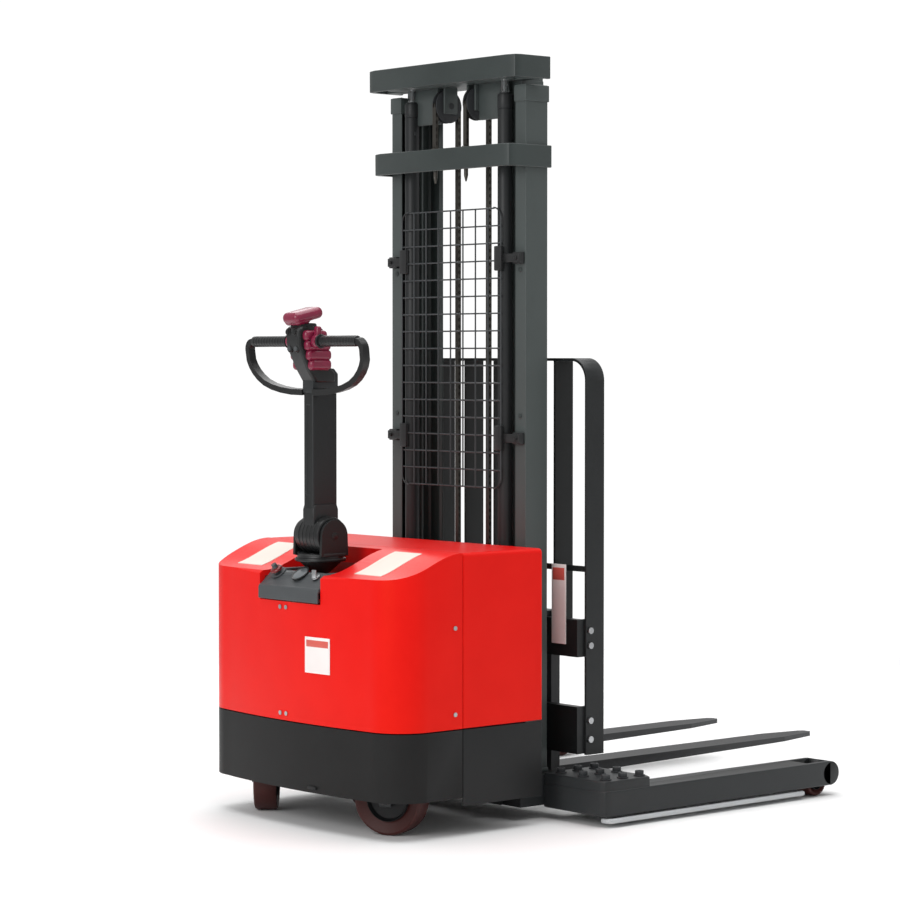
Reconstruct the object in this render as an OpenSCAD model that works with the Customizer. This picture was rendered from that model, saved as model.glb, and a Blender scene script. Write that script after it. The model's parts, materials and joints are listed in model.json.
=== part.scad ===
// Walkie straddle stacker, millimetres, +X towards the fork tips, +Y left, +Z up.
// Sizes are laid out from the rear face of the mast, and ref() moves the whole
// truck so that its origin is on the floor under the middle of its length.

/* [Hoods and skirts] */
// Width of the truck body over its hoods
body_w = 850; // [780:10:960]
// Gap from the rear face of the mast back to the hoods
hood_gap = 63; // [50:1:90]
// Length of the front hood
front_hood_len = 282; // [270:1:340]
// Length of the rear hood on the centre line
rear_hood_len = 250; // [240:1:300]
// How far the rear face bows out in the middle
rear_bow = 22; // [8:1:40]
// Corner radius of the rear hood in plan
corner_r = 110; // [70:1:140]
// Height of the flat top of the front hood
hood_top_z = 747; // [720:1:900]
// Height of the rear hood along its rear edge
rear_top_z = 682; // [660:1:700]
// Height of the joint line between hoods and skirts
split_z = 282; // [270:1:320]
// Ground clearance of the side skirts
skirt_z = 80; // [60:1:100]
// Ground clearance of the rear skirt
rear_skirt_z = 102; // [80:1:110]
// Wall of the hoods
hood_wall = 4; // [3:0.5:6]
// Wall of the skirts
skirt_wall = 5; // [4:0.5:8]
// Gap between neighbouring covers
cover_gap = 3; // [2:0.5:5]

/* [Dashboard] */
// Width of the dashboard
dash_w = 262; // [240:2:300]
// Height of the dashboard's rear lip
dash_lip_h = 40; // [25:1:50]
// Radius of the battery gauge
gauge_r = 27; // [18:1:30]
// Radius of the emergency stop's mushroom
stop_r = 18; // [14:1:22]
// Travel of the emergency stop
stop_travel = 6; // [4:0.5:8]

/* [Mast] */
// Closed height of the mast
mast_h = 2080; // [1900:10:2300]
// Width over the outer mast rails
mast_w = 576; // [560:2:640]
// Depth of one mast rail along X
rail_d = 80; // [76:1:90]
// Width of one outer rail's flange
outer_flange = 43; // [38:1:50]
// Width of one inner rail's flange
inner_flange = 58; // [52:1:64]
// Thickness of the rails' flanges
flange_t = 10; // [8:1:11]
// Thickness of the rails' webs
web_t = 10; // [8:1:11]
// How far the inner rails stand ahead of the outer rails
inner_offset = 26; // [24:1:30]
// Running gap between the inner rails and the outer rails
rail_gap = 2; // [1.5:0.5:3]
// Travel of the inner mast
mast_stroke = 1450; // [900:10:1500]
// Height of the outer mast's cross beam
mid_beam_z = 1780; // [1700:5:1800]
// Depth of both cross beams from top to bottom
beam_h = 61; // [50:1:70]
// How far the cross beams stand behind the mast
beam_back = 71; // [65:1:90]
// Plate thickness of the cross beams
beam_t = 12; // [8:1:14]

/* [Lift cylinders and chains] */
// Radius of a lift cylinder's barrel
barrel_r = 21; // [19:0.5:22]
// Radius of a lift rod
rod_r = 12.5; // [10:0.5:14]
// Radial clearance of a turning shaft in its bore
run_fit = 0.05; // [0.02:0.01:0.1]
// Distance of a lift cylinder from the centre line
cylinder_y = 200; // [198:1:204]
// Distance of a chain from the centre line
chain_y = 66; // [60:1:110]
// Pitch radius of a chain pulley
pulley_r = 42; // [38:1:46]
// Width of a leaf chain
chain_w = 14; // [10:1:18]
// Thickness of a leaf chain
chain_t = 11; // [8:1:12]

/* [Mesh guard] */
// Height of the lower edge of the mesh guard
mesh_z = 898; // [800:1:1000]
// Height of the mesh guard
mesh_h = 774; // [600:2:860]
// Width of the mesh guard
mesh_w = 430; // [400:2:440]
// Number of meshes across
mesh_cols = 8; // [5:1:10]
// Number of meshes up
mesh_rows = 16; // [10:1:18]
// Thickness of the mesh wires
wire = 5; // [4:0.5:6]

/* [Fork carriage] */
// Length of a fork blade ahead of its shank
fork_len = 1070; // [800:10:1150]
// Width of a fork
fork_w = 92; // [80:1:96]
// Distance of a fork from the centre line
fork_y = 196; // [194:1:200]
// Height of the fork's top face when lowered
fork_top_z = 119; // [110:1:130]
// Thickness of a fork at its heel
fork_t = 32; // [28:1:38]
// Thickness of a fork at its tip
fork_tip_t = 12; // [8:1:16]
// Width over the load backrest
backrest_w = 768; // [764:2:800]
// Height of the load backrest's top
backrest_z = 1258; // [1000:2:1400]
// Depth of the backrest's flat bars along X
bar_d = 67; // [50:1:75]
// Thickness of the backrest's flat bars
bar_t = 8; // [6:1:10]
// Number of gaps between the backrest's bars
bar_gaps = 6; // [6:1:6]
// Bend radius of the backrest's top corners
bend_r = 62; // [40:1:80]

/* [Straddle legs] */
// Width over the straddle legs
legs_w = 1184; // [1100:2:1400]
// Distance of a leg's tip from the mast's rear face
leg_tip_x = 950; // [850:5:1050]
// Width of a leg
leg_w = 100; // [90:1:110]
// Height of a leg's underside
leg_z = 30; // [24:1:36]
// Height of a leg's top face
leg_top_z = 99; // [94:1:110]
// Height of the top of a leg's mounting block
block_top_z = 125; // [120:1:132]
// Length of a leg's mounting block
block_len = 185; // [175:1:220]

/* [Wheels] */
// Radius of a caster wheel
caster_r = 97; // [90:1:104]
// Width of a caster wheel
caster_w = 64; // [56:1:70]
// Distance of a caster's swivel axis from the centre line
caster_y = 284; // [278:1:288]
// Trail of a caster
caster_trail = 12; // [10:1:18]
// Angle at which the left caster stands
caster_angle_l = 49.4; // [0:0.1:90]
// Angle at which the right caster stands
caster_angle_r = 65.4; // [0:0.1:90]
// Radius of the drive wheel
drive_r = 105; // [100:1:110]
// Width of the drive wheel
drive_w = 72; // [60:1:80]
// Radius of a load wheel
load_r = 40; // [36:1:44]
// Width of a load wheel
load_w = 62; // [50:1:66]

/* [Tiller] */
// Distance of the tiller behind the mast's rear face
tiller_back = 486; // [476:1:490]
// Height of the tiller's tilt axis
pivot_z = 780; // [770:1:800]
// Radius of the tiller's round boot
boot_r = 51; // [46:1:54]
// Width of the tiller's round boot
boot_w = 104; // [96:1:110]
// Depth of the tiller tube along X
tube_d = 84; // [70:1:88]
// Width of the tiller tube
tube_w = 42; // [36:1:46]
// Height of the handle's grips
grip_z = 1303; // [1250:1:1340]
// Width over the handle loop
loop_w = 520; // [420:2:560]
// Depth of the handle loop from the grips down to its lowest point
loop_h = 146; // [130:1:160]
// Radius of a grip
grip_r = 14; // [12:0.5:16]

/* [Hidden] */
$fn = 48;

// places along X
hood_x1 = -hood_gap;
seam_x = hood_x1 - front_hood_len;
rear_x = seam_x - rear_hood_len;
tiller_x = -tiller_back;
drive_x = -268;
caster_x = -456;
// widths
half_w = body_w / 2;
dash_x0 = rear_x - 4;
mast_y = mast_w / 2;
inner_y = mast_y - outer_flange - rail_gap;
inner_x = inner_offset;
// body and deck
deck_z = 222;
deck_t = 10;
side_t = 8;
skin = 0.4;
bow_half = half_w - corner_r;
bow_r = (bow_half * bow_half + rear_bow * rear_bow) / (2 * rear_bow);
top_steps = 12;
// mast
rail_z = 118;
inner_z = rail_z + 7;
top_beam_z = mast_h - beam_h;
rail_top = top_beam_z;
outer_top = top_beam_z - 14;
beam_over = 9;
top_over = 34;
beam_chamfer = 18;
roller_gap = 0.6;
stud_r = 11;
mast_roller_r = (rail_d - 2 * flange_t) / 2 - roller_gap;
mast_roller_w = outer_flange - web_t - 5;
carriage_roller_w = inner_flange - web_t - 8;
// lift gear
cylinder_x = 2;
barrel_top = outer_top - 18;
gland_h = 40;
piston_h = 45;
pulley_x = 18;
pulley_z = top_beam_z - 52;
pulley_rim = pulley_r + 6;
pulley_w = chain_w + 8;
pulley_axle_r = 9;
front_chain_x = pulley_x + pulley_r;
rear_chain_x = pulley_x - pulley_r;
anchor_z = 300;
anchor_t = 15;
// carriage
carriage_x0 = inner_x + rail_d + 6;
carriage_x1 = carriage_x0 + 26;
carriage_plate_y = 166;
carriage_plate_t = 14;
upper_bar_z = [437, 540];
lower_bar_z = [170, 300];
upper_roller_z = 478;
lower_roller_z = 205;
front_x = carriage_x1 + skin;
tip_x = front_x + fork_t + fork_len;
mid_x = (dash_x0 + tip_x) / 2;
bar_pitch = (backrest_w - bar_t) / bar_gaps;
// legs
block_x = 20;
block_y0 = 340;
legs_y = legs_w / 2;
leg_y1 = legs_y - 6;
leg_y0 = leg_y1 - leg_w;
load_x = leg_tip_x - 74;
load_y = leg_y1 - leg_w / 2;
load_z = load_r;
load_pin_r = 10;
nose_r = (leg_top_z - leg_z) / 2;
// wheels
caster_plate_z = deck_z - deck_t - skin;
turn_r = 132;
turn_z = deck_z + skin;
sprocket_r = 78;
chain_z = deck_z + 20;
bridge_y = 98;
bridge_z = deck_z + 132;
// tiller
head_lean = 12;
collar_z = 1172;
head_z = 1222;
grip_x = tiller_x - 52;
cap_z = 1352;

module ref() translate([-mid_x, 0, 0]) children();
module box(x, y, z) translate([x[0], y[0], z[0]]) cube([x[1] - x[0], y[1] - y[0], z[1] - z[0]]);
module both() {
    children();
    mirror([0, 1, 0]) children();
}
module side(s) scale([1, s, 1]) children();
module y_rod(r, y, x, z) translate([x, y[0], z]) rotate([-90, 0, 0]) cylinder(r = r, h = y[1] - y[0]);
module x_rod(r, x, y, z) translate([x[0], y, z]) rotate([0, 90, 0]) cylinder(r = r, h = x[1] - x[0]);

// ---- hoods and skirts ----

function arc(cx, cy, r, a0, a1, n) = [for (i = [0:n]) let(a = a0 + (a1 - a0) * i / n)
    [cx + r * cos(a), cy + r * sin(a)]];
function bow(t, n) = [for (i = [1:n - 1]) let(y = bow_half * (1 - 2 * i / n))
    [rear_x + t + bow_r - sqrt(bow_r * bow_r - y * y), y]];

// plan of the rear part of the body, drawn t inside its outer face
module rear_plan(t, x_front = seam_x) {
    cx = rear_x + rear_bow + corner_r;
    r = corner_r - t;
    polygon(concat([[x_front, half_w - t]], arc(cx, bow_half, r, 90, 180, 8), bow(t, 10),
        arc(cx, -bow_half, r, 180, 270, 8), [[x_front, t - half_w]]));
}

// side view of the rear hood's top, falling in an S to the rear edge
function top_z(s, t) = rear_top_z - t + (hood_top_z - rear_top_z) * (1 - cos(180 * s)) / 2;
module hood_profile(t, x_front) {
    x0 = rear_x + t;
    edge = 14;
    pts = [for (i = [0:top_steps]) let(s = i / top_steps) [x0 + edge + (seam_x - x0 - edge) * s, top_z(s, t)]];
    translate([0, half_w, 0]) rotate([90, 0, 0]) linear_extrude(body_w)
        polygon(concat([[x_front, split_z - 1], [x0, split_z - 1], [x0, rear_top_z - t - edge]], pts,
            [[x_front, hood_top_z - t]]));
}

module rear_solid() intersection() {
    translate([0, 0, split_z + cover_gap]) linear_extrude(hood_top_z) rear_plan(0);
    hood_profile(0, seam_x);
}
module rear_hood() color("red") ref() difference() {
    union() {
        difference() {
            rear_solid();
            intersection() {
                translate([0, 0, split_z - 1]) linear_extrude(hood_top_z) rear_plan(hood_wall, seam_x + 1);
                translate([0, 0, -2]) hood_profile(hood_wall, seam_x + 1);
            }
        }
        // walls and floor of the recess round the tiller's base
        intersection() {
            rear_solid();
            box([rear_x, recess_x + hood_wall], [-recess_y - hood_wall, recess_y + hood_wall],
                [recess_z - hood_wall, hood_top_z + 9]);
        }
    }
    box([rear_x - 1, recess_x], [-recess_y, recess_y], [recess_z, hood_top_z + 9]);
    translate([tiller_x, 0, recess_z - 9]) cylinder(r = 34, h = 18);
}

module front_hood() color("red") ref() difference() {
    box([seam_x + cover_gap, hood_x1], [-half_w, half_w], [split_z + cover_gap, hood_top_z]);
    box([seam_x, hood_x1 - hood_wall], [hood_wall - half_w, half_w - hood_wall],
        [split_z - 1, hood_top_z - hood_wall]);
}

module rear_skirt() color("dimgray") ref() difference() {
    translate([0, 0, rear_skirt_z]) linear_extrude(split_z - rear_skirt_z) rear_plan(0);
    translate([0, 0, rear_skirt_z - 1]) linear_extrude(split_z) rear_plan(skirt_wall, seam_x + 1);
    // the corners are raised over the casters
    both() box([rear_x - 1, caster_x + 90], [caster_y - 60, half_w + 1], [0, rear_skirt_z + 14]);
}

module side_skirts() color("dimgray") ref() both()
    box([seam_x + cover_gap, hood_x1], [half_w - skirt_wall, half_w], [skirt_z, split_z]);

module hood_pads() color("lightgray") ref() both() {
    x0 = seam_x - 158;
    x1 = seam_x - 38;
    slope = atan2(top_z(0.86, 0) - top_z(0.30, 0), x1 - x0);
    translate([x0, 205, top_z(0.28, 0) + 5]) rotate([0, -slope, 0]) cube([x1 - x0, 110, 2]);
}

badge_y = 123;
badge_w = 100;
badge_h = 96;
badge_z = 422;
badge_turn = asin(badge_y / bow_r);
module badge_plate() color("silver") ref()
    // seated on the bowed rear face, right of the middle
    translate([rear_x + bow_r * (1 - cos(badge_turn)), -badge_y, 0]) rotate([0, 0, badge_turn])
        box([-2, -skin], [-badge_w / 2, badge_w / 2], [badge_z, badge_z + badge_h]);

module screw_x(x, y, z) x_rod(6, [x - 2.5, x - skin], y, z);
module hood_screws() color("silver") ref() {
    // pairs of rivets on the rear face
    for (z = [rear_top_z - 92, split_z + 22]) for (y = [10, 36]) screw_x(rear_x, y, z);
    // cover screws beside the seams, on both sides
    both() for (z = [split_z + 42, hood_top_z - 196]) y_rod(6, [half_w + skin, half_w + 2.5], seam_x - 26, z);
}

// ---- dashboard ----

dash_x1 = tiller_x - 62;
dash_z = rear_top_z - 34;
dash_rise = 38;
recess_x = tiller_x + 108;
recess_y = dash_w / 2 + cover_gap;
recess_z = dash_z - dash_lip_h - cover_gap;
dash_slope = atan2(dash_rise, dash_x1 - dash_x0);
function dash_top(x) = dash_z + (x - dash_x0) * tan(dash_slope);
gauge_x = rear_x + 36;
gauge_y = -8;
stop_x = rear_x + 34;
stop_y = 88;
key_x = rear_x + 30;
key_y = -84;
module on_dash(x, y) translate([x, y, dash_top(x)]) rotate([0, -dash_slope, 0]) children();

module dash_panel() color("slategray") ref() difference() {
    union() {
        translate([0, dash_w / 2, 0]) rotate([90, 0, 0]) linear_extrude(dash_w)
            polygon([[dash_x0, dash_z - dash_lip_h], [dash_x0, dash_z], [dash_x1, dash_z + dash_rise],
                [dash_x1, dash_z + dash_rise - 6], [dash_x0 + 6, dash_z - 6], [dash_x0 + 6, dash_z - dash_lip_h]]);
        // side arms beside the tiller's base
        both() box([dash_x1 - 1, tiller_x + 104], [dash_w / 2 - 18, dash_w / 2],
            [dash_z + dash_rise - 6, dash_z + dash_rise]);
    }
    on_dash(gauge_x, gauge_y) cylinder(r = gauge_r - 4, h = 40, center = true);
    on_dash(stop_x, stop_y) cylinder(r = 7, h = 40, center = true);
    on_dash(key_x, key_y) cylinder(r = 9, h = 40, center = true);
}
module battery_gauge() color("white") ref() on_dash(gauge_x, gauge_y) {
    translate([0, 0, skin]) cylinder(r = gauge_r, h = 5);
    translate([0, 0, -22]) cylinder(r = gauge_r - 5, h = 22 + skin);
}
module emergency_stop() color("darkred") ref() on_dash(stop_x, stop_y) {
    translate([0, 0, stop_travel + 2]) cylinder(r1 = stop_r, r2 = stop_r - 4, h = 10);
    translate([0, 0, -24]) cylinder(r = 7 - run_fit, h = 27 + stop_travel);
}
module ignition_key() color("silver") ref() on_dash(key_x, key_y) {
    translate([0, 0, skin]) cylinder(r = 12, h = 4);
    translate([0, 0, -26]) cylinder(r = 9 - run_fit, h = 27);
    translate([-1.5, -9, 4]) cube([3, 18, 22]);
}

// ---- chassis ----

module chassis_frame() color("dimgray") ref() difference() {
    union() {
        // deck plate under the hoods
        intersection() {
            translate([0, 0, deck_z - deck_t]) linear_extrude(deck_t) rear_plan(skirt_wall + 3, hood_x1 - 4);
            box([rear_x, 0], [-half_w, half_w], [0, deck_z]);
        }
        // side cheeks down behind the side skirts
        both() box([seam_x + 20, hood_x1 - 4], [half_w - skirt_wall - side_t - 1, half_w - skirt_wall - 1],
            [leg_z + 60, deck_z]);
        // uprights of the bulkhead between hoods and mast
        both() box([hood_x1 - 60, hood_x1 - 6], [mast_y - 60, mast_y - 52], [deck_z - 1, hood_top_z - 30]);
        box([hood_x1 - 14, hood_x1 - 6], [-mast_y, mast_y], [deck_z - 1, hood_top_z - 20]);
        // drop plates that carry the mast crossmember
        both() box([hood_x1 - 12, hood_x1], [mast_y - 120, mast_y - 20], [leg_z + 6, deck_z]);
        // bridge over the steering chain that holds the tiller's column
        both() box([tiller_x - 30, tiller_x + 30], [bridge_y, bridge_y + 12], [deck_z - 1, bridge_z]);
        box([tiller_x - 30, tiller_x + 30], [-bridge_y - 1, bridge_y + 1], [bridge_z - 12, bridge_z]);
        translate([tiller_x, 0, chain_z + 18]) cylinder(r = 44, h = bridge_z - chain_z - 19);
        // crossmember that carries the mast, between the straddle legs
        box([hood_x1 - 1, rail_d + inner_offset - 6], [-block_y0 + skin, block_y0 - skin],
            [leg_z + 6, rail_z - skin]);
        // stub beam from the drop plates to the crossmember
        both() box([hood_x1 - 12, hood_x1 + 1], [mast_y - 120, mast_y - 20], [leg_z + 6, rail_z]);
    }
    translate([tiller_x, 0, deck_z - deck_t - 1]) cylinder(r = 22 + run_fit, h = 160);
    translate([drive_x, 0, 0]) cylinder(r = turn_r - 14, h = deck_z + 1);
    // caster kingpin holes
    both() translate([caster_x, caster_y, 0]) cylinder(r = 12 + run_fit, h = deck_z + 1);
}

// ---- power pack ----

module batteries() color("darkslategray") ref() both() {
    x = [seam_x + 18, hood_x1 - 74];
    y = [turn_r + 12, half_w - 24];
    box(x, y, [deck_z + skin, deck_z + 246]);
    for (u = [0.3, 0.7]) translate([x[0] + 34, y[0] + (y[1] - y[0]) * u, deck_z + 246])
        cylinder(r = 9, h = 18);
}
module pump_unit() color("black") ref() {
    translate([tiller_x + 84, 250, deck_z + 56]) rotate([90, 0, 0]) cylinder(r = 52, h = 150);
    box([tiller_x + 36, tiller_x + 132], [250, 308], [deck_z + skin, deck_z + 108]);
    translate([tiller_x + 84, 278, deck_z + 107]) cylinder(r = 20, h = 46);
}
module hydraulic_tank() color("gray") ref() {
    box([tiller_x - 46, tiller_x + 30], [116, 330], [deck_z + skin, deck_z + 150]);
    translate([tiller_x - 8, 290, deck_z + 149]) cylinder(r = 22, h = 18);
}
module motor_controller() color("gray") ref() {
    box([tiller_x - 40, tiller_x + 110], [-330, -150], [deck_z + skin, deck_z + 14]);
    for (i = [0:7]) box([tiller_x - 34 + i * 18, tiller_x - 28 + i * 18], [-324, -156],
        [deck_z + 13, deck_z + 30]);
    box([tiller_x - 36, tiller_x + 106], [-320, -160], [deck_z + 29, deck_z + 74]);
}

// ---- drive unit ----

module drive_turntable() color("gray") ref() translate([drive_x, 0, 0]) {
    translate([0, 0, turn_z]) cylinder(r = turn_r, h = 12);
    translate([0, 0, drive_r * 2 + 6]) cylinder(r = turn_r - 20, h = turn_z - drive_r * 2 - 5);
    translate([0, 0, turn_z + 11]) cylinder(r = sprocket_r, h = 22);
}
module drive_gearbox() color("gray") ref() translate([drive_x, 0, 0]) difference() {
    union() {
        box([-56, 56], [drive_w / 2 + 4, drive_w / 2 + 44], [drive_r - 46, drive_r * 2 + 6 - skin]);
        y_rod(56, [drive_w / 2 + 4, drive_w / 2 + 44], 0, drive_r);
    }
    y_rod(16, [drive_w / 2, drive_w / 2 + 60], 0, drive_r);
}
module drive_wheel() color("darkred") ref() translate([drive_x, 0, 0]) {
    y_rod(drive_r, [-drive_w / 2, drive_w / 2], 0, drive_r);
    y_rod(16 - run_fit, [drive_w / 2 - 1, drive_w / 2 + 40], 0, drive_r);
}
module traction_motor() color("black") ref() translate([drive_x, 0, turn_z + 33 + skin]) {
    cylinder(r = 70, h = 14);
    translate([0, 0, 13]) cylinder(r = 62, h = 170);
}
module steering_chain() color("darkgray") ref() {
    r = sprocket_r + 2;
    // two straight runs, closed round both sprockets
    translate([0, 0, chain_z]) linear_extrude(8) difference() {
        hull() for (x = [tiller_x, drive_x]) translate([x, 0]) circle(r = r + 8);
        hull() for (x = [tiller_x, drive_x]) translate([x, 0]) circle(r = r);
    }
}

// ---- casters ----

module caster_place(s, angle) translate([caster_x, s * caster_y, 0]) rotate([0, 0, s * angle]) children();
module caster_fork(s, angle) ref() caster_place(s, angle) difference() {
    union() {
        translate([0, 0, caster_plate_z - 8]) cylinder(r = 46, h = 8);
        translate([0, 0, caster_plate_z - 1]) cylinder(r = 12, h = deck_t);
        for (k = [-1, 1]) scale([1, k, 1]) box([-30, 30], [caster_w / 2 + 3, caster_w / 2 + 8],
            [caster_r * 2 + 2, caster_plate_z - 7]);
        for (k = [-1, 1]) scale([1, k, 1]) box([-caster_trail - 16, -caster_trail + 16],
            [caster_w / 2 + 3, caster_w / 2 + 8], [caster_r - 16, caster_r * 2 + 3]);
        y_rod(9, [-caster_w / 2 - 8, caster_w / 2 + 8], -caster_trail, caster_r);
        y_rod(16, [-caster_w / 2 - 12, -caster_w / 2 - 7], -caster_trail, caster_r);
        y_rod(16, [caster_w / 2 + 7, caster_w / 2 + 12], -caster_trail, caster_r);
    }
}
module caster_wheel(s, angle) ref() caster_place(s, angle) difference() {
    y_rod(caster_r, [-caster_w / 2, caster_w / 2], -caster_trail, caster_r);
    y_rod(9 + run_fit, [-caster_w, caster_w], -caster_trail, caster_r);
}
module caster_fork_left() color("dimgray") caster_fork(1, caster_angle_l);
module caster_fork_right() color("dimgray") caster_fork(-1, caster_angle_r);
module caster_wheel_left() color("darkred") caster_wheel(1, caster_angle_l);
module caster_wheel_right() color("darkred") caster_wheel(-1, caster_angle_r);

// ---- straddle legs ----

module straddle_leg(s) ref() side(s) difference() {
    union() {
        box([block_x, block_x + block_len], [block_y0, leg_y1], [leg_z, block_top_z]);
        box([block_x + block_len - 1, leg_tip_x - nose_r], [leg_y0, leg_y1], [leg_z, leg_top_z]);
        y_rod(nose_r, [leg_y0, leg_y1], leg_tip_x - nose_r, (leg_top_z + leg_z) / 2);
        // skid strip under the outer edge
        box([block_x + 8, load_x - load_r - 30], [leg_y1 - 40, legs_y], [leg_z - 18, leg_z - 6]);
        box([block_x + 8, load_x - load_r - 30], [leg_y1 - 40, leg_y1 - 6], [leg_z - 7, leg_z + 1]);
    }
    // slot for the load wheel, and its pin's hole
    box([load_x - load_r - 6, load_x + load_r + 6], [load_y - load_w / 2 - 3, load_y + load_w / 2 + 3],
        [0, leg_top_z + 1]);
    y_rod(load_pin_r + run_fit, [leg_y0 - 1, legs_y + 1], load_x, load_z);
}
module straddle_leg_left() color("dimgray") straddle_leg(1);
module straddle_leg_right() color("dimgray") straddle_leg(-1);

module load_wheel_pins() color("silver") ref() both()
    y_rod(load_pin_r, [leg_y0 + 3, leg_y1 - 3], load_x, load_z);
module load_wheel(s) ref() side(s) difference() {
    y_rod(load_r, [load_y - load_w / 2, load_y + load_w / 2], load_x, load_z);
    y_rod(load_pin_r + run_fit, [load_y - load_w, load_y + load_w], load_x, load_z);
}
module load_wheel_left() color("darkred") load_wheel(1);
module load_wheel_right() color("darkred") load_wheel(-1);

bolt_r = 13;
bolt_h = 14;
module leg_bolts() color("gray") ref() both()
    for (x = [0.18, 0.52, 0.86]) for (y = [0.14, 0.5, 0.86])
        translate([block_x + block_len * x, block_y0 + (leg_y1 - block_y0) * y, block_top_z + skin])
            difference() {
                cylinder(r = bolt_r, h = bolt_h);
                translate([0, 0, bolt_h - 7]) cylinder(r = 7, h = 8, $fn = 6);
            }

// ---- mast ----

// channel that opens towards the centre line, its web at the outer side
module channel(x, y_out, flange, z0, z1) {
    box([x, x + flange_t], [y_out - flange, y_out], [z0, z1]);
    box([x + rail_d - flange_t, x + rail_d], [y_out - flange, y_out], [z0, z1]);
    box([x, x + rail_d], [y_out - web_t, y_out], [z0, z1]);
}

// beam bent round the mast's back and sides, open towards the front
module wrap_beam(half, x_end, z0) {
    outline = [[x_end, half], [-beam_back + beam_chamfer, half], [-beam_back, half - beam_chamfer * 2],
        [-beam_back, beam_chamfer * 2 - half], [-beam_back + beam_chamfer, -half], [x_end, -half]];
    translate([0, 0, z0]) linear_extrude(beam_h) difference() {
        polygon(outline);
        polygon([for (p = outline) [p[0] == x_end ? x_end + 1 : p[0] + beam_t,
            p[1] - sign(p[1]) * beam_t]]);
    }
}

module outer_mast_frame() color("dimgray") ref() {
    both() channel(0, mast_y, outer_flange, rail_z, outer_top);
    wrap_beam(mast_y + beam_over, rail_d + 8, mid_beam_z);
    // lugs that join the beam to the rails
    both() box([-beam_back + beam_t - 1, 1], [mast_y - 30, mast_y - 16],
        [mid_beam_z + 6, mid_beam_z + beam_h - 6]);
    both() box([20, 60], [mast_y - 1, mast_y + beam_over - beam_t + 1 + 3],
        [mid_beam_z + 6, mid_beam_z + beam_h - 6]);
    // brackets that carry the chain anchors
    both() box([-beam_back + beam_t - 1, rear_chain_x + 14], [chain_y - 16, chain_y + 16],
        [mid_beam_z + 22, mid_beam_z + 34]);
}

module mesh_guard() color("dimgray") ref() {
    pitch_y = (mesh_w - wire) / mesh_cols;
    pitch_z = (mesh_h - wire) / mesh_rows;
    x0 = cylinder_x - barrel_r - 3 - wire;
    translate([x0, -mesh_w / 2, mesh_z]) rotate([90, 0, 90]) linear_extrude(wire) difference() {
        square([mesh_w, mesh_h]);
        for (i = [0:mesh_cols - 1]) for (j = [0:mesh_rows - 1])
            translate([wire + i * pitch_y, wire + j * pitch_z]) square([pitch_y - wire, pitch_z - wire]);
    }
    // straps past the lift cylinders, with blocks that seat on the outer rails' rear flanges
    clip_y = cylinder_y + barrel_r + 3;
    both() for (z = [mesh_z + 110, mesh_z + mesh_h - 170]) {
        box([x0, x0 + wire], [mesh_w / 2 - wire, mast_y - 4], [z, z + 60]);
        box([x0 + wire - 1, -skin], [clip_y, mast_y - 4], [z, z + 60]);
    }
}

module lift_cylinders() color("dimgray") ref() both() translate([cylinder_x, cylinder_y, 0]) difference() {
    translate([0, 0, rail_z]) cylinder(r = barrel_r, h = barrel_top - rail_z);
    translate([0, 0, rail_z + 14]) cylinder(r = barrel_r - 5, h = barrel_top - gland_h - rail_z - 14);
    cylinder_bore();
}
module cylinder_bore() translate([0, 0, barrel_top - gland_h - 1])
    cylinder(r = rod_r + run_fit, h = gland_h + 2);

module lift_rods() color("silver") ref() both() translate([cylinder_x, cylinder_y, 0]) {
    translate([0, 0, rail_z + 24]) cylinder(r = rod_r, h = top_beam_z - rail_z - 24 - skin);
    translate([0, 0, rail_z + 24]) cylinder(r = barrel_r - 5.4, h = piston_h);
}

module inner_mast_frame() color("dimgray") ref() difference() {
    union() {
        both() channel(inner_x, inner_y, inner_flange, inner_z, rail_top + 2);
        wrap_beam(mast_y + top_over, 61, top_beam_z);
        // head plate that ties the rails, the beam and the lift rods together
        box([-beam_back + beam_t - 1, rail_d + inner_offset], [-inner_y, inner_y], [top_beam_z, top_beam_z + 14]);
        both() box([0, 40], [inner_y - 1, mast_y + top_over - beam_t + 1], [top_beam_z, top_beam_z + 14]);
        // lower and middle ties between the rails, behind the carriage
        box([inner_x, inner_x + 10], [-inner_y + 1, inner_y - 1], [inner_z, inner_z + 60]);
        // hangers of the chain pulleys
        both() for (y = [chain_y - pulley_w / 2 - 9, chain_y + pulley_w / 2 + 1])
            box([pulley_x - 24, pulley_x + 24], [y, y + 8], [pulley_z - 22, top_beam_z + 1]);
        // studs of the mast rollers
        both() y_rod(stud_r, [inner_y - 1, mast_y - web_t - 3], rail_d / 2, inner_z + 46);
    }
    both() y_rod(pulley_axle_r, [chain_y - pulley_w, chain_y + pulley_w], pulley_x, pulley_z);
}
module mast_rollers() color("silver") ref() both() difference() {
    y_rod(mast_roller_r, [inner_y + 2, inner_y + 2 + mast_roller_w], rail_d / 2, inner_z + 46);
    y_rod(stud_r + run_fit, [inner_y, mast_y], rail_d / 2, inner_z + 46);
}
module chain_pulleys() color("gray") ref() both() {
    for (k = [-1, 1]) translate([0, k * (pulley_w / 2 - 2), 0])
        y_rod(pulley_rim, [chain_y - 2, chain_y + 2], pulley_x, pulley_z);
    y_rod(pulley_r - chain_t / 2 - skin, [chain_y - pulley_w / 2, chain_y + pulley_w / 2], pulley_x, pulley_z);
    y_rod(pulley_axle_r - run_fit, [chain_y - pulley_w / 2 - 9, chain_y + pulley_w / 2 + 9], pulley_x, pulley_z);
}
module chain_run(x, z0, z1) box([x - chain_t / 2, x + chain_t / 2], [chain_y - chain_w / 2, chain_y + chain_w / 2],
    [z0, z1]);
module front_chains() color("darkgray") ref() both() chain_run(front_chain_x, anchor_z - 12, pulley_z);
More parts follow.
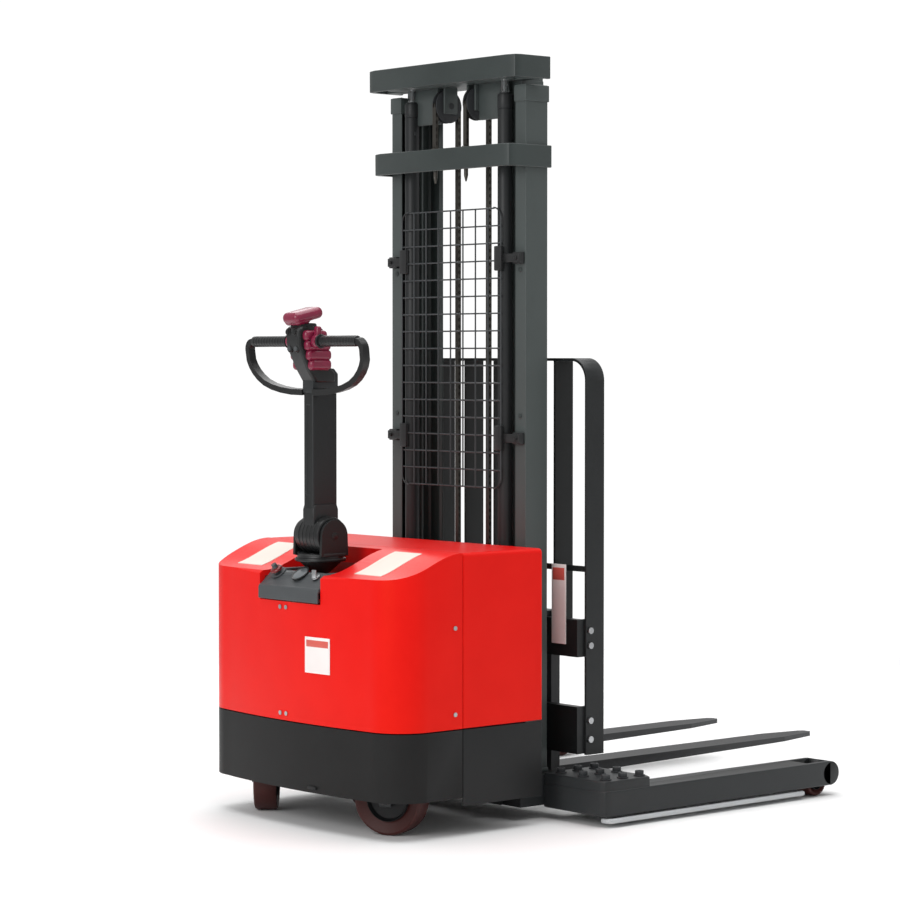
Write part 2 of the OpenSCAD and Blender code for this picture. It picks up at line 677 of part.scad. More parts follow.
module rear_chains() color("darkgray") ref() both() {
    z_bolt = mid_beam_z + 34;
    chain_run(rear_chain_x, z_bolt + 24, pulley_z);
    translate([rear_chain_x, chain_y, z_bolt + skin]) cylinder(r = 9, h = 25);
    translate([rear_chain_x, chain_y, mid_beam_z - 14]) cylinder(r = 6, h = 36 - skin);
    translate([rear_chain_x, chain_y, mid_beam_z - 32]) cylinder(r1 = 2, r2 = 6, h = 19);
}

// ---- fork carriage ----

module carriage_frame() color("dimgray") ref() difference() {
    union() {
        end_y = backrest_w / 2 - bar_t - skin;
        for (z = [upper_bar_z, lower_bar_z]) {
            box([carriage_x0, carriage_x1], [-end_y, end_y], z);
            // ears that the backrest's legs are bolted to
            both() box([carriage_x1 - 1, carriage_x1 + 28], [end_y - 12, end_y], z);
        }
        both() {
            box([42, carriage_x0 + 1], [carriage_plate_y, carriage_plate_y + carriage_plate_t],
                [lower_bar_z[0] - 18, upper_bar_z[1] + 4]);
            for (z = [lower_roller_z, upper_roller_z])
                y_rod(stud_r, [carriage_plate_y + 1, inner_y - web_t - 3], inner_x + rail_d / 2, z);
        }
        // chain anchor shelf
        box([44, carriage_x0 + 1], [-carriage_plate_y - 1, carriage_plate_y + 1], [anchor_z, anchor_z + anchor_t]);
    }
    both() box([front_chain_x - chain_t / 2 - 2, front_chain_x + chain_t / 2 + 2],
        [chain_y - chain_w / 2 - 2, chain_y + chain_w / 2 + 2], [anchor_z - 1, anchor_z + anchor_t + 1]);
}
module carriage_rollers(z) ref() both() difference() {
    x = inner_x + rail_d / 2;
    y0 = inner_y - web_t - 2 - carriage_roller_w;
    y_rod(mast_roller_r, [y0, y0 + carriage_roller_w], x, z);
    y_rod(stud_r + run_fit, [y0 - 1, y0 + carriage_roller_w + 1], x, z);
}
module upper_rollers() color("silver") carriage_rollers(upper_roller_z);
module lower_rollers() color("silver") carriage_rollers(lower_roller_z);

module fork(s) ref() translate([0, s * fork_y, 0]) {
    x0 = front_x;
    x1 = front_x + fork_t;
    z0 = fork_top_z - fork_t;
    // shank and hook over the upper bar
    box([x0, x1], [-fork_w / 2, fork_w / 2], [z0, upper_bar_z[1] + 16]);
    box([carriage_x0 + 2, x0 + 1], [-fork_w / 2, fork_w / 2], [upper_bar_z[1] + skin, upper_bar_z[1] + 16]);
    // blade, thinning from heel to tip
    tip = tip_x;
    taper = 150;
    intersection() {
        translate([0, fork_w / 2, 0]) rotate([90, 0, 0]) linear_extrude(fork_w)
            polygon([[x0, z0], [x0, fork_top_z], [tip, fork_top_z], [tip, fork_top_z - fork_tip_t + 4],
                [tip - 8, fork_top_z - fork_tip_t]]);
        translate([0, 0, z0 - 1]) linear_extrude(fork_t + 2)
            polygon([[x0, -fork_w / 2], [tip - taper, -fork_w / 2], [tip - 12, -fork_w / 4], [tip, -fork_w / 8],
                [tip, fork_w / 8], [tip - 12, fork_w / 4], [tip - taper, fork_w / 2], [x0, fork_w / 2]]);
    }
}
module fork_left() color("dimgray") fork(1);
module fork_right() color("dimgray") fork(-1);

module load_backrest() color("dimgray") ref() translate([front_x, 0, 0]) {
    half = backrest_w / 2;
    leg_z0 = lower_bar_z[0] - 4;
    // flat bar bent into an arch
    translate([bar_d, 0, 0]) rotate([90, 0, -90]) linear_extrude(bar_d) difference() {
        union() {
            translate([-half, leg_z0]) square([backrest_w, backrest_z - leg_z0 - bend_r]);
            translate([bend_r - half, leg_z0]) square([backrest_w - 2 * bend_r, backrest_z - leg_z0]);
            for (k = [-1, 1]) translate([k * (half - bend_r), backrest_z - bend_r]) circle(r = bend_r);
        }
        translate([bar_t - half, leg_z0 - 1]) square([backrest_w - 2 * bar_t, backrest_z - leg_z0 - bend_r + 1]);
        translate([bend_r - half, leg_z0 - 1]) square([backrest_w - 2 * bend_r, backrest_z - leg_z0 + 1 - bar_t]);
        for (k = [-1, 1]) translate([k * (half - bend_r), backrest_z - bend_r]) circle(r = bend_r - bar_t);
    }
    for (i = [1:bar_gaps - 1]) box([0, bar_d], [-half + i * bar_pitch, -half + i * bar_pitch + bar_t],
        [upper_bar_z[0] + 4, backrest_z - bar_t + 1]);
    box([22, 28], [1 - half + bar_t / 2, half - bar_t / 2 - 1], [668, 684]);
}
module backrest_bolts() color("silver") ref() both()
    for (z = [upper_bar_z, lower_bar_z]) for (u = [0.3, 0.7])
        y_rod(9, [backrest_w / 2 + skin, backrest_w / 2 + 7], front_x + 13, z[0] + (z[1] - z[0]) * u);

// ---- tiller ----

module tiller_base() color("black") ref() translate([tiller_x, 0, 0]) difference() {
    union() {
        // column in the chassis bridge, with the sprocket of the steering chain
        translate([0, 0, deck_z - deck_t]) cylinder(r = 22, h = pivot_z - 79 - deck_z + deck_t);
        translate([0, 0, chain_z - 4]) cylinder(r = sprocket_r, h = 14);
        translate([0, 0, bridge_z + skin]) cylinder(r = 40, h = 12);
        translate([0, 0, pivot_z - 100]) cylinder(r1 = 24, r2 = 60, h = 31);
        translate([0, 0, pivot_z - 70]) cylinder(r = 66, h = 17);
        // two cheeks that hold the pivot pin
        both() box([-34, 34], [boot_w / 2 + 2, boot_w / 2 + 10], [pivot_z - 54, pivot_z]);
        both() y_rod(34, [boot_w / 2 + 2, boot_w / 2 + 10], 0, pivot_z);
    }
    y_rod(10, [-100, 100], 0, pivot_z);
}
module tiller_pivot_pin() color("silver") ref()
    y_rod(10, [-boot_w / 2 - 12, boot_w / 2 + 12], tiller_x, pivot_z);
module tiller_boot() color("black") ref() translate([tiller_x, 0, 0]) difference() {
    y_rod(boot_r, [-boot_w / 2, boot_w / 2], 0, pivot_z);
    y_rod(10 + run_fit, [-boot_w, boot_w], 0, pivot_z);
}
module tiller_tube() color("black") ref() translate([tiller_x, 0, 0]) difference() {
    box([-tube_d / 2, tube_d / 2], [-tube_w / 2, tube_w / 2], [pivot_z + boot_r - 6, collar_z + 20]);
    y_rod(boot_r + skin, [-boot_w, boot_w], 0, pivot_z);
    box([4 - tube_d / 2, tube_d / 2 - 4], [4 - tube_w / 2, tube_w / 2 - 4], [pivot_z + boot_r + 6, collar_z + 21]);
}

// side outline of the head, leaning back over the collar
head_z0 = collar_z + 20 + skin;
head_top = cap_z - 8;
head_half = 30;
bar_r = 10;
button_r = 7;
stem_r = 8;
stem_x = -48;
low_pair_z = grip_z - 20;
high_pair_z = grip_z + 25;
pair_y = 14;
module head_outline() polygon([[-46, head_z0], [34, head_z0], [34, head_z], [-4, head_top], [-98, head_top],
    [-94, grip_z - 14]]);
module head_housing() color("black") ref() translate([tiller_x, 0, 0]) difference() {
    translate([0, head_half, 0]) rotate([90, 0, 0]) linear_extrude(2 * head_half) head_outline();
    // seats of the handle's bar, the buttons and the belly button's stem
    y_rod(bar_r + 0.3, [-head_half - 1, head_half + 1], grip_x - tiller_x, grip_z);
    for (y = [-pair_y, pair_y]) {
        x_rod(button_r + run_fit, [-110, -64], y, low_pair_z);
        x_rod(button_r + run_fit, [-110, -68], y, high_pair_z);
    }
    translate([stem_x, 0, grip_z + 15]) cylinder(r = stem_r + run_fit, h = 60);
}
module head_shell() color("crimson") ref() translate([tiller_x, 0, 0]) both() {
    y = [head_half + skin, head_half + skin + 13];
    // ribbed shell on each side of the head
    for (i = [0:3]) y_rod(15, y, 4 - i * 6, head_z + 10 + i * 29);
    translate([0, y[0] + 7, 0]) rotate([90, 0, 0]) linear_extrude(7)
        polygon([[-8, head_z + 2], [20, head_z + 2], [2, head_top - 4], [-28, head_top - 4]]);
}

// half of the handle's outline, from its upper corner down to the middle of the guard
loop_half = [[loop_w / 2 - 8, grip_r - 11], [loop_w / 2 - 10, -50], [loop_w / 2 - 32, -86],
    [loop_w / 2 - 76, -114], [loop_w / 2 - 136, 14 - loop_h], [0, 8 - loop_h]];
module loop_outline() offset(r = 8)
    polygon(concat(loop_half, [for (i = [len(loop_half) - 2:-1:0]) [-loop_half[i][0], loop_half[i][1]]]));
module handle_loop() color("dimgray") ref() translate([grip_x, 0, grip_z]) {
    rotate([0, -loop_tilt, 0]) translate([-band_t / 2, 0, 0]) rotate([90, 0, 90]) linear_extrude(band_t)
        difference() {
            loop_outline();
            offset(delta = -band_h) loop_outline();
            // openings for the head and for the tube
            translate([-wing_y[1] - 4, -40]) square([2 * wing_y[1] + 8, 80]);
            translate([-tube_w / 2 - skin, -loop_h - 1]) square([tube_w + 2 * skin, 60]);
        }
    y_rod(bar_r, [-wing_y[1] - 3, wing_y[1] + 3], 0, 0);
    both() y_rod(grip_r, [wing_y[1] + 2, loop_w / 2 - 30], 0, 0);
}
loop_tilt = 7;
band_t = 24;
band_h = 17;
wing_y = [47, 66];
module throttle_wings() color("black") ref() translate([grip_x, 0, grip_z]) both() difference() {
    union() {
        y_rod(19, wing_y, 0, 0);
        box([-7, 7], wing_y, [12, 40]);
    }
    y_rod(bar_r + run_fit, [wing_y[0] - 1, wing_y[1] + 1], 0, 0);
}
module rear_button(y, z, x0) x_rod(button_r, [tiller_x + x0, tiller_x + x0 + 26], y, z);
module lift_button() color("black") ref() rear_button(pair_y, high_pair_z, -103);
module lower_button() color("black") ref() rear_button(-pair_y, high_pair_z, -103);
module horn_button() color("white") ref() rear_button(pair_y, low_pair_z, -97);
module speed_button() color("white") ref() rear_button(-pair_y, low_pair_z, -97);
module belly_button() color("darkred") ref() {
    translate([tiller_x - 110, 0, cap_z + 1]) linear_extrude(40) offset(r = 16) translate([16, -20]) square([70, 40]);
    translate([tiller_x + stem_x, 0, grip_z + 24]) cylinder(r = stem_r, h = cap_z - grip_z - 20);
}

chassis_frame();
rear_hood();
front_hood();
rear_skirt();
side_skirts();
dash_panel();
battery_gauge();
hood_pads();
badge_plate();
hood_screws();
batteries();
pump_unit();
hydraulic_tank();
motor_controller();
outer_mast_frame();
lift_cylinders();
mesh_guard();
straddle_leg_left();
straddle_leg_right();
leg_bolts();
load_wheel_pins();
steering_chain();
rear_chains();
tiller_base();
tiller_pivot_pin();
tiller_boot();
tiller_tube();
head_housing();
head_shell();
handle_loop();
belly_button();
throttle_wings();
lift_button();
lower_button();
horn_button();
speed_button();
ignition_key();
emergency_stop();
drive_turntable();
drive_gearbox();
traction_motor();
drive_wheel();
caster_fork_left();
caster_fork_right();
caster_wheel_left();
caster_wheel_right();
load_wheel_left();
load_wheel_right();
inner_mast_frame();
lift_rods();
chain_pulleys();
front_chains();
mast_rollers();
carriage_frame();
fork_left();
fork_right();
load_backrest();
backrest_bolts();
upper_rollers();
lower_rollers();
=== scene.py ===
import json
import math

import bpy
from mathutils import Matrix, Vector


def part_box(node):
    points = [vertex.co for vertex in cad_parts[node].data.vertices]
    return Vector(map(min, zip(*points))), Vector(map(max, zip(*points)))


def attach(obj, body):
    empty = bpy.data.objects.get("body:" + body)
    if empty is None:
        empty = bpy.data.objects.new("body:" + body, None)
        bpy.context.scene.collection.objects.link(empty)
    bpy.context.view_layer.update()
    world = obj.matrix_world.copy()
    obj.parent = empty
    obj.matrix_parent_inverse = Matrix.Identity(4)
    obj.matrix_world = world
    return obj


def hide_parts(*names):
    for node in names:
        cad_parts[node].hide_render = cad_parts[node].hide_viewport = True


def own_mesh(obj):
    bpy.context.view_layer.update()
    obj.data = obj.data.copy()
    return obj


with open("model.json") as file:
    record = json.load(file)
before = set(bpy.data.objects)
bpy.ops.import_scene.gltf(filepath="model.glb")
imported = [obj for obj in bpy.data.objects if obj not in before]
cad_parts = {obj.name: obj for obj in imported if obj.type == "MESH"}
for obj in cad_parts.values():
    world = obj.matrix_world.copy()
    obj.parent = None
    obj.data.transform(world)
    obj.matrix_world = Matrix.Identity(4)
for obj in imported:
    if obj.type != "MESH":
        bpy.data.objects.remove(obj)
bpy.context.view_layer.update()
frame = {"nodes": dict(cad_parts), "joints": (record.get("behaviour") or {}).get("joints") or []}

MM = 0.001
# lengths below are millimetres measured from the rear face of the mast
LEG_AHEAD = 20
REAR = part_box("straddle_leg_left")[0].x / MM - LEG_AHEAD


def place(x, y, z):
    """A point measured from the mast's rear face, in the frame's metres."""
    return Vector(((x + REAR) * MM, y * MM, z * MM))


# ---- materials ----

def linear(code):
    """The linear colour of an sRGB hex code."""
    parts = [int(code[i:i + 2], 16) / 255 for i in (1, 3, 5)]
    return (*[c / 12.92 if c <= 0.04045 else ((c + 0.055) / 1.055) ** 2.4 for c in parts], 1)


def add(tree, kind, settings=(), **links):
    """Adds a node, sets its values and links its inputs."""
    node = tree.nodes.new(kind)
    for name, value in dict(settings).items():
        if name in node.inputs:
            node.inputs[name].default_value = value
        else:
            setattr(node, name, value)
    for name, source in links.items():
        tree.links.new(source, node.inputs[name.replace("_", " ")])
    return node


def coated(name, low, high, rough, grain_mm, bump, streak=(1, 1, 1), coat=0.0, metallic=0.0, wear=None,
           shine=0.5, tint="#ffffff"):
    """A surface whose colour drifts between two shades, with a fine grain in its roughness and relief."""
    material = bpy.data.materials.new(name)
    material.use_nodes = True
    tree = material.node_tree
    tree.nodes.clear()
    spot = add(tree, "ShaderNodeTexCoord").outputs["Object"]
    drawn = add(tree, "ShaderNodeMapping", {"Scale": streak}, Vector=spot).outputs["Vector"]
    drift = add(tree, "ShaderNodeTexNoise", {"Scale": 9.0, "Detail": 4.0}, Vector=drawn)
    grain = add(tree, "ShaderNodeTexNoise", {"Scale": 1 / (grain_mm * MM), "Detail": 2.0}, Vector=drawn)
    shade = add(tree, "ShaderNodeMix", {"data_type": "RGBA"}, Factor=drift.outputs["Fac"])
    shade.inputs[6].default_value = linear(low)
    shade.inputs[7].default_value = linear(high)
    colour = shade.outputs[2]
    if wear:
        # rubbed edges, found where the surface turns sharply
        edge = add(tree, "ShaderNodeNewGeometry").outputs["Pointiness"]
        mask = add(tree, "ShaderNodeMapRange", {"From Min": 0.53, "From Max": 0.62}, Value=edge)
        rubbed = add(tree, "ShaderNodeMix", {"data_type": "RGBA"}, Factor=mask.outputs["Result"])
        rubbed.inputs[7].default_value = linear(wear)
        tree.links.new(colour, rubbed.inputs[6])
        colour = rubbed.outputs[2]
    gloss = add(tree, "ShaderNodeMapRange", {"To Min": rough - 0.06, "To Max": rough + 0.08},
                Value=grain.outputs["Fac"])
    relief = add(tree, "ShaderNodeBump", {"Strength": bump, "Distance": 0.0006},
                 Height=grain.outputs["Fac"])
    # tint colours the reflections; only the red enamel sets it, for a painted warm reflection
    skin = add(tree, "ShaderNodeBsdfPrincipled",
               {"Metallic": metallic, "Coat Weight": coat, "Coat Roughness": 0.12,
                "Specular IOR Level": shine, "Specular Tint": linear(tint)},
               Base_Color=colour, Roughness=gloss.outputs["Result"], Normal=relief.outputs["Normal"])
    add(tree, "ShaderNodeOutputMaterial", Surface=skin.outputs["BSDF"])
    return material


# textured powder coat: charcoal black with a fine orange peel, paler where edges are rubbed
POWDER = coated("black powder coat", "#151717", "#1e2021", 0.42, 2.4, 0.25, wear="#3c3f41",
                shine=0.35)
# the mast's own paint: a greyer black, a little glossier
MAST = coated("grey black mast paint", "#262d2c", "#333b3a", 0.38, 2.8, 0.2, wear="#5a6160",
              shine=0.5)
# ribbed vacuum-formed skirt: a duller black than the powder coat
SKIRT = coated("black textured skirt", "#131313", "#1b1b1b", 0.48, 3.0, 0.35, wear="#303132",
               shine=0.22)
# stove enamel on pressed steel: orange red, wet gloss over a faint orange peel; its reflections are
# tinted orange, a painted warm reflection
ENAMEL = coated("orange red enamel", "#dc1214", "#e81a19", 0.34, 6.0, 0.06, shine=0.3,
                tint="#ff9a50")
# the same enamel inside the recess, darker and duller: painted shade where the recess lies in shadow
RECESS = coated("red enamel with painted shade", "#7c100b", "#931510", 0.5, 5.0, 0.1, shine=0.25)
# injection moulded ABS with a spark-eroded stipple
DASH = coated("grey moulded ABS", "#3f4244", "#4c4f51", 0.45, 1.6, 0.3, shine=0.4)
BLACK_ABS = coated("black moulded ABS", "#101112", "#181919", 0.34, 1.4, 0.25, wear="#303132",
                   shine=0.4)
PALE = coated("pale rubber mat", "#d9cfc6", "#e6ddd3", 0.6, 2.0, 0.3, shine=0.3)
CLARET = coated("claret moulded ABS", "#6d1430", "#8a1c40", 0.3, 3.0, 0.06, coat=0.35, shine=0.4)
STOP_RED = coated("dark red ABS", "#5d0a0a", "#7a0e0e", 0.3, 3.0, 0.06, coat=0.4)
WHITE = coated("white moulded ABS", "#dcdcd8", "#efefec", 0.35, 2.0, 0.1)
# printed vinyl: a blank white plate and its coral heading strip
PLATE = coated("blank white plate", "#e9e2df", "#f2ecea", 0.4, 3.0, 0.05, shine=0.3)
STRIP = coated("coral printed strip", "#c9564c", "#d8665b", 0.4, 3.0, 0.05, shine=0.3)
# cast polyurethane tyre: brick brown, slightly waxy
TYRE = coated("brown polyurethane", "#361614", "#4a1f1b", 0.5, 4.0, 0.2, shine=0.3)
NYLON = coated("black nylon hub", "#121314", "#1b1c1e", 0.5, 2.0, 0.2, shine=0.3)
ZINC = coated("bright zinc plate", "#a9abad", "#c4c6c8", 0.3, 1.2, 0.12, metallic=1.0)
CHROME = coated("hard chrome rod", "#c8cacc", "#dcdee0", 0.12, 3.0, 0.02, streak=(40, 40, 1),
                metallic=1.0)
CHAIN = coated("oiled chain steel", "#4a4844", "#6a6762", 0.35, 1.5, 0.15, metallic=1.0)
CAST = coated("painted casting", "#303234", "#3e4042", 0.6, 3.0, 0.5, shine=0.3)
CASE = coated("polypropylene case", "#1c1e22", "#282b30", 0.5, 2.5, 0.3)
SINK = coated("extruded aluminium", "#9a9da0", "#b4b7ba", 0.35, 1.0, 0.1, streak=(1, 30, 1),
              metallic=1.0)
SKID = coated("pale polyamide skid", "#aeb1b3", "#c3c6c8", 0.45, 2.0, 0.15)
GLASS = coated("smoked gauge lens", "#5d6265", "#6c7174", 0.15, 4.0, 0.02, coat=0.6)
FORK = coated("scuffed black fork", "#191a1c", "#28292b", 0.4, 3.0, 0.3, streak=(0.3, 1, 1),
              wear="#5c5e60", shine=0.4)

# ---- modelling tools ----

def take(name, width=0.0, steps=2, angle=35):
    """Names the new object, puts its place into its mesh and rounds its sharp edges by width."""
    piece = bpy.context.object
    piece.name = name
    bpy.ops.object.transform_apply(location=True, rotation=True, scale=True)
    if width:
        soften(piece, width, steps, angle)
    bpy.ops.object.shade_smooth_by_angle(angle=math.radians(40))
    return piece


def apply_all(piece):
    bpy.ops.object.select_all(action="DESELECT")
    piece.select_set(True)
    bpy.context.view_layer.objects.active = piece
    for modifier in list(piece.modifiers):
        bpy.ops.object.modifier_apply(modifier=modifier.name)


def soften(piece, width, steps=2, angle=35):
    rounding = piece.modifiers.new("edges", "BEVEL")
    rounding.width = width * MM
    rounding.segments = steps
    rounding.limit_method = "ANGLE"
    rounding.angle_limit = math.radians(angle)
    apply_all(piece)


def block(name, x, y, z, width=1.5, steps=2):
    """A rounded block between the limits x, y and z."""
    bpy.ops.object.select_all(action="DESELECT")
    low = place(x[0], y[0], z[0])
    high = place(x[1], y[1], z[1])
    bpy.ops.mesh.primitive_cube_add(size=1, location=(low + high) / 2, scale=high - low)
    return take(name, width, steps)


def rod(name, a, b, r, width=0.8, r2=None, sides=48):
    """A round bar or cone from a to b."""
    a, b = place(*a), place(*b)
    bpy.ops.object.select_all(action="DESELECT")
    far = r if r2 is None else r2
    bpy.ops.mesh.primitive_cone_add(vertices=sides, radius1=r * MM, radius2=far * MM,
                                    depth=(b - a).length, location=(a + b) / 2,
                                    rotation=(b - a).to_track_quat("Z", "Y").to_euler())
    return take(name, width)


def pick(piece, faces=None, edges=None):
    """Selects faces by centre and normal, or edges by their two ends, and opens edit mode."""
    bpy.ops.object.select_all(action="DESELECT")
    piece.select_set(True)
    bpy.context.view_layer.objects.active = piece
    bpy.ops.object.mode_set(mode="EDIT")
    bpy.ops.mesh.select_mode(type="FACE" if faces else "EDGE")
    bpy.ops.mesh.select_all(action="DESELECT")
    bpy.ops.object.mode_set(mode="OBJECT")
    mesh = piece.data
    if faces:
        for face in mesh.polygons:
            face.select = faces(face.center, face.normal)
    else:
        for edge in mesh.edges:
            edge.select = edges(*[mesh.vertices[i].co for i in edge.vertices])
    bpy.ops.object.mode_set(mode="EDIT")


def done():
    bpy.ops.object.mode_set(mode="OBJECT")
    bpy.ops.object.shade_smooth_by_angle(angle=math.radians(40))


def dish(piece, axis, lip, depth):
    """Sinks both end faces of a wheel by depth, leaving a lip round each."""
    axis = Vector(axis).normalized()
    for side in (1, -1):
        pick(piece, faces=lambda centre, normal: normal.dot(axis * side) > 0.99)
        bpy.ops.mesh.inset(thickness=lip * MM)
        bpy.ops.transform.translate(value=-axis * side * depth * MM)
        done()
    return piece


def outline(name, points, thick, plane, level, width=2.0, steps=2):
    """A plate with rounded edges, cut to an outline in plane 'xz', 'yz' or 'xy'.

    It runs from level to level + thick.
    """
    curve = bpy.data.curves.new(name, "CURVE")
    curve.dimensions = "2D"
    curve.fill_mode = "BOTH"
    line = curve.splines.new("POLY")
    line.points.add(len(points) - 1)
    for point, (u, v) in zip(line.points, points):
        point.co = (u * MM, v * MM, 0, 1)
    line.use_cyclic_u = True
    curve.extrude = thick / 2 * MM
    piece = bpy.data.objects.new(name, curve)
    bpy.context.scene.collection.objects.link(piece)
    middle = level + thick / 2
    turn = {"xz": (math.pi / 2, 0, 0), "yz": (math.pi / 2, 0, math.pi / 2), "xy": (0, 0, 0)}[plane]
    spot = {"xz": (0, middle, 0), "yz": (middle, 0, 0), "xy": (0, 0, middle)}[plane]
    piece.rotation_euler = turn
    piece.location = place(*spot)
    bpy.ops.object.select_all(action="DESELECT")
    piece.select_set(True)
    bpy.context.view_layer.objects.active = piece
    bpy.ops.object.convert(target="MESH")
    piece = bpy.context.object
    weld = piece.modifiers.new("weld", "WELD")
    weld.merge_threshold = 0.00001
    apply_all(piece)
    outward(piece)
    return take(name, width, steps)


def outward(piece):
    """Turns every face of a closed piece outwards."""
    pick(piece, faces=lambda centre, normal: True)
    bpy.ops.mesh.normals_make_consistent(inside=False)
    done()


def tube(name, paths, r, sides=3):
    """Round wire or tube along each path of points."""
    curve = bpy.data.curves.new(name, "CURVE")
    curve.dimensions = "3D"
    curve.bevel_depth = r * MM
    curve.bevel_resolution = sides
    curve.use_fill_caps = True
    for path in paths:
        line = curve.splines.new("POLY")
        line.points.add(len(path) - 1)
        for point, co in zip(line.points, path):
            point.co = (*place(*co), 1)
    piece = bpy.data.objects.new(name, curve)
    bpy.context.scene.collection.objects.link(piece)
    bpy.ops.object.select_all(action="DESELECT")
    piece.select_set(True)
    bpy.context.view_layer.objects.active = piece
    bpy.ops.object.convert(target="MESH")
    return take(name)


def cut(piece, tool, how="DIFFERENCE"):
    """Cuts the tool out of the piece, or keeps what they share."""
    knife = piece.modifiers.new("cut", "BOOLEAN")
    knife.operation = how
    knife.solver = "EXACT"
    knife.object = tool
    apply_all(piece)
    bpy.data.objects.remove(tool)
    return piece


def merge(name, parts):
    bpy.ops.object.select_all(action="DESELECT")
    for part in parts:
        part.select_set(True)
    bpy.context.view_layer.objects.active = parts[0]
    bpy.ops.object.join()
    parts[0].name = name
    return parts[0]


def copy(piece, name):
    bpy.ops.object.select_all(action="DESELECT")
    twin = piece.copy()
    twin.data = piece.data.copy()
    twin.name = name
    bpy.context.scene.collection.objects.link(twin)
    return twin


def put(piece, material, body, slot=None, *nodes):
    """Gives the piece its material, the body that it rides and the CAD nodes that it stands for."""
    piece.data.materials.clear()
    piece.data.materials.append(material)
    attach(piece, body)
    if nodes:
        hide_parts(*nodes)
    return piece


def span(s, a, b):
    """The limits from a to b on the left (s = 1) or on the right (s = -1)."""
    return sorted((s * a, s * b))


def plan_on(s, points):
    """A plan drawn for the left side, mirrored for the right when s is -1."""
    return points if s > 0 else [(x, -y) for x, y in reversed(points)]


def ribbon(path, half):
    """The outline of a strip that runs along a path, half wide on each side."""
    left, right = [], []
    for i, (u, v) in enumerate(path):
        before, after = path[max(i - 1, 0)], path[min(i + 1, len(path) - 1)]
        along = Vector((after[0] - before[0], after[1] - before[1])).normalized() * half
        left.append((u - along.y, v + along.x))
        right.append((u + along.y, v - along.x))
    return left + right[::-1]


def swing(piece, axis, degrees, point):
    """Turns a piece's mesh about an axis through a point."""
    spot = Matrix.Translation(place(*point))
    piece.data.transform(spot @ Matrix.Rotation(math.radians(degrees), 4, axis) @ spot.inverted())
    return piece


def arc(cu, cv, r, a0, a1, n):
    steps = [math.radians(a0 + (a1 - a0) * i / n) for i in range(n + 1)]
    return [(cu + r * math.cos(a), cv + r * math.sin(a)) for a in steps]

# ---- hoods and skirts ----

HOOD = [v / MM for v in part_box("rear_hood")[0]]
HOOD_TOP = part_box("front_hood")[1].z / MM
HALF = -HOOD[1]
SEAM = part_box("front_hood")[0].x / MM - REAR - 3
BACK = HOOD[0] - REAR
BASE = HOOD[2]
SPLIT = BASE - 3
CORNER = 110
BOW = 22
RIM = 682
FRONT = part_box("front_hood")[1].x / MM - REAR
# the tiller stands on the steering axis
TX = -486


def body_plan(inside, front):
    """Plan of the rear of the body: a bowed rear face between two round corners."""
    side = HALF - CORNER
    sweep = (side * side + BOW * BOW) / (2 * BOW)
    r = CORNER - inside
    middle = BACK + BOW + CORNER
    ys = [side * (1 - 2 * i / 16) for i in range(1, 16)]
    rear = [(BACK + inside + sweep - math.sqrt(sweep * sweep - y * y), y) for y in ys]
    return [(front, HALF - inside), *arc(middle, side, r, 90, 180, 14), *rear,
            *arc(middle, -side, r, 180, 270, 14), (front, inside - HALF)]


def hood_side():
    """Side view of the rear hood: its top falls in an S to the rear rim."""
    x0 = BACK + 16
    fall = [(SEAM + (x0 - SEAM) * i / 20, RIM + (HOOD_TOP - RIM) * (1 + math.cos(math.pi * i / 20)) / 2)
            for i in range(21)]
    return [(SEAM, BASE), *fall, (BACK, RIM - 10), (BACK - 5, RIM - 24), (BACK - 5, BASE)]


def rear_hood():
    shell = outline("rear_cover", body_plan(0, SEAM), HOOD_TOP + 20 - BASE, "xy", BASE, 0)
    cut(shell, outline("side_view", hood_side(), 2 * HALF + 40, "xz", -HALF - 20, 0), "INTERSECT")
    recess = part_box("dash_panel")
    wide = recess[1].y / MM + 3
    hollow = block("hollow", (BACK - 30, TX + 108), (-wide, wide), (605, 800), 0)
    cut(shell, hollow)
    pick(shell, edges=rim_edge)
    bpy.ops.mesh.bevel(offset=13 * MM, segments=5, affect="EDGES", clamp_overlap=True)
    done()
    soften(shell, 2.0, 3, 50)
    put(shell, ENAMEL, "chassis", "red_paint", "rear_hood")
    # the lining's walls and floor take the darker red, the painted shade of the recess
    lining = [block("lining", (BACK + 14, TX + 107), (-wide + 0.5, wide - 0.5), (604, 608), 0.5)]
    for s in (1, -1):
        side = span(s, wide, wide - 2)
        lining.append(block("lining", (BACK + 20, TX + 107), side, (606, 668), 0.5))
    lining.append(block("lining", (TX + 106, TX + 108), (-wide, wide), (606, 700), 0.5))
    put(merge("recess_lining", lining), RECESS, "chassis", "red_paint")


def hood_pads():
    """Mats let into the rear hood on both sides, following the fall of its top."""
    over = [(x, z) for x, z in hood_side() if SEAM - 196 < x < SEAM - 36 and z > RIM]
    side = [(x, z + 1.6) for x, z in over] + [(x, z - 2) for x, z in reversed(over)]
    mats = [outline("mat", side, 112, "xz", 204 if s > 0 else -316, 1.0) for s in (1, -1)]
    put(merge("hood_mats", mats), PALE, "chassis", "pad_plastic", "hood_pads")


def rim_edge(a, b):
    """True for an edge along the top of the rear hood's outer face."""
    middle = (a + b) / 2
    x, y, z = middle.x / MM - REAR, abs(middle.y / MM), middle.z / MM
    outer = y > HALF - 1 or x < BACK + BOW + CORNER - 1
    steep = abs((a - b).normalized().z) > 0.9
    return outer and z > RIM - 30 and not steep and x < SEAM - 1


def front_hood():
    cover = block("front_cover", (SEAM + 3, FRONT), (-HALF, HALF), (BASE, HOOD_TOP), 0)
    pick(cover, edges=lambda a, b: (abs(a.z - b.z) < 1e-4 and a.z / MM > HOOD_TOP - 1
                                    and abs(a.x - b.x) > 0.1))
    bpy.ops.mesh.bevel(offset=12 * MM, segments=5, affect="EDGES")
    done()
    soften(cover, 2.0, 2, 50)
    put(cover, ENAMEL, "chassis", "red_paint", "front_hood")


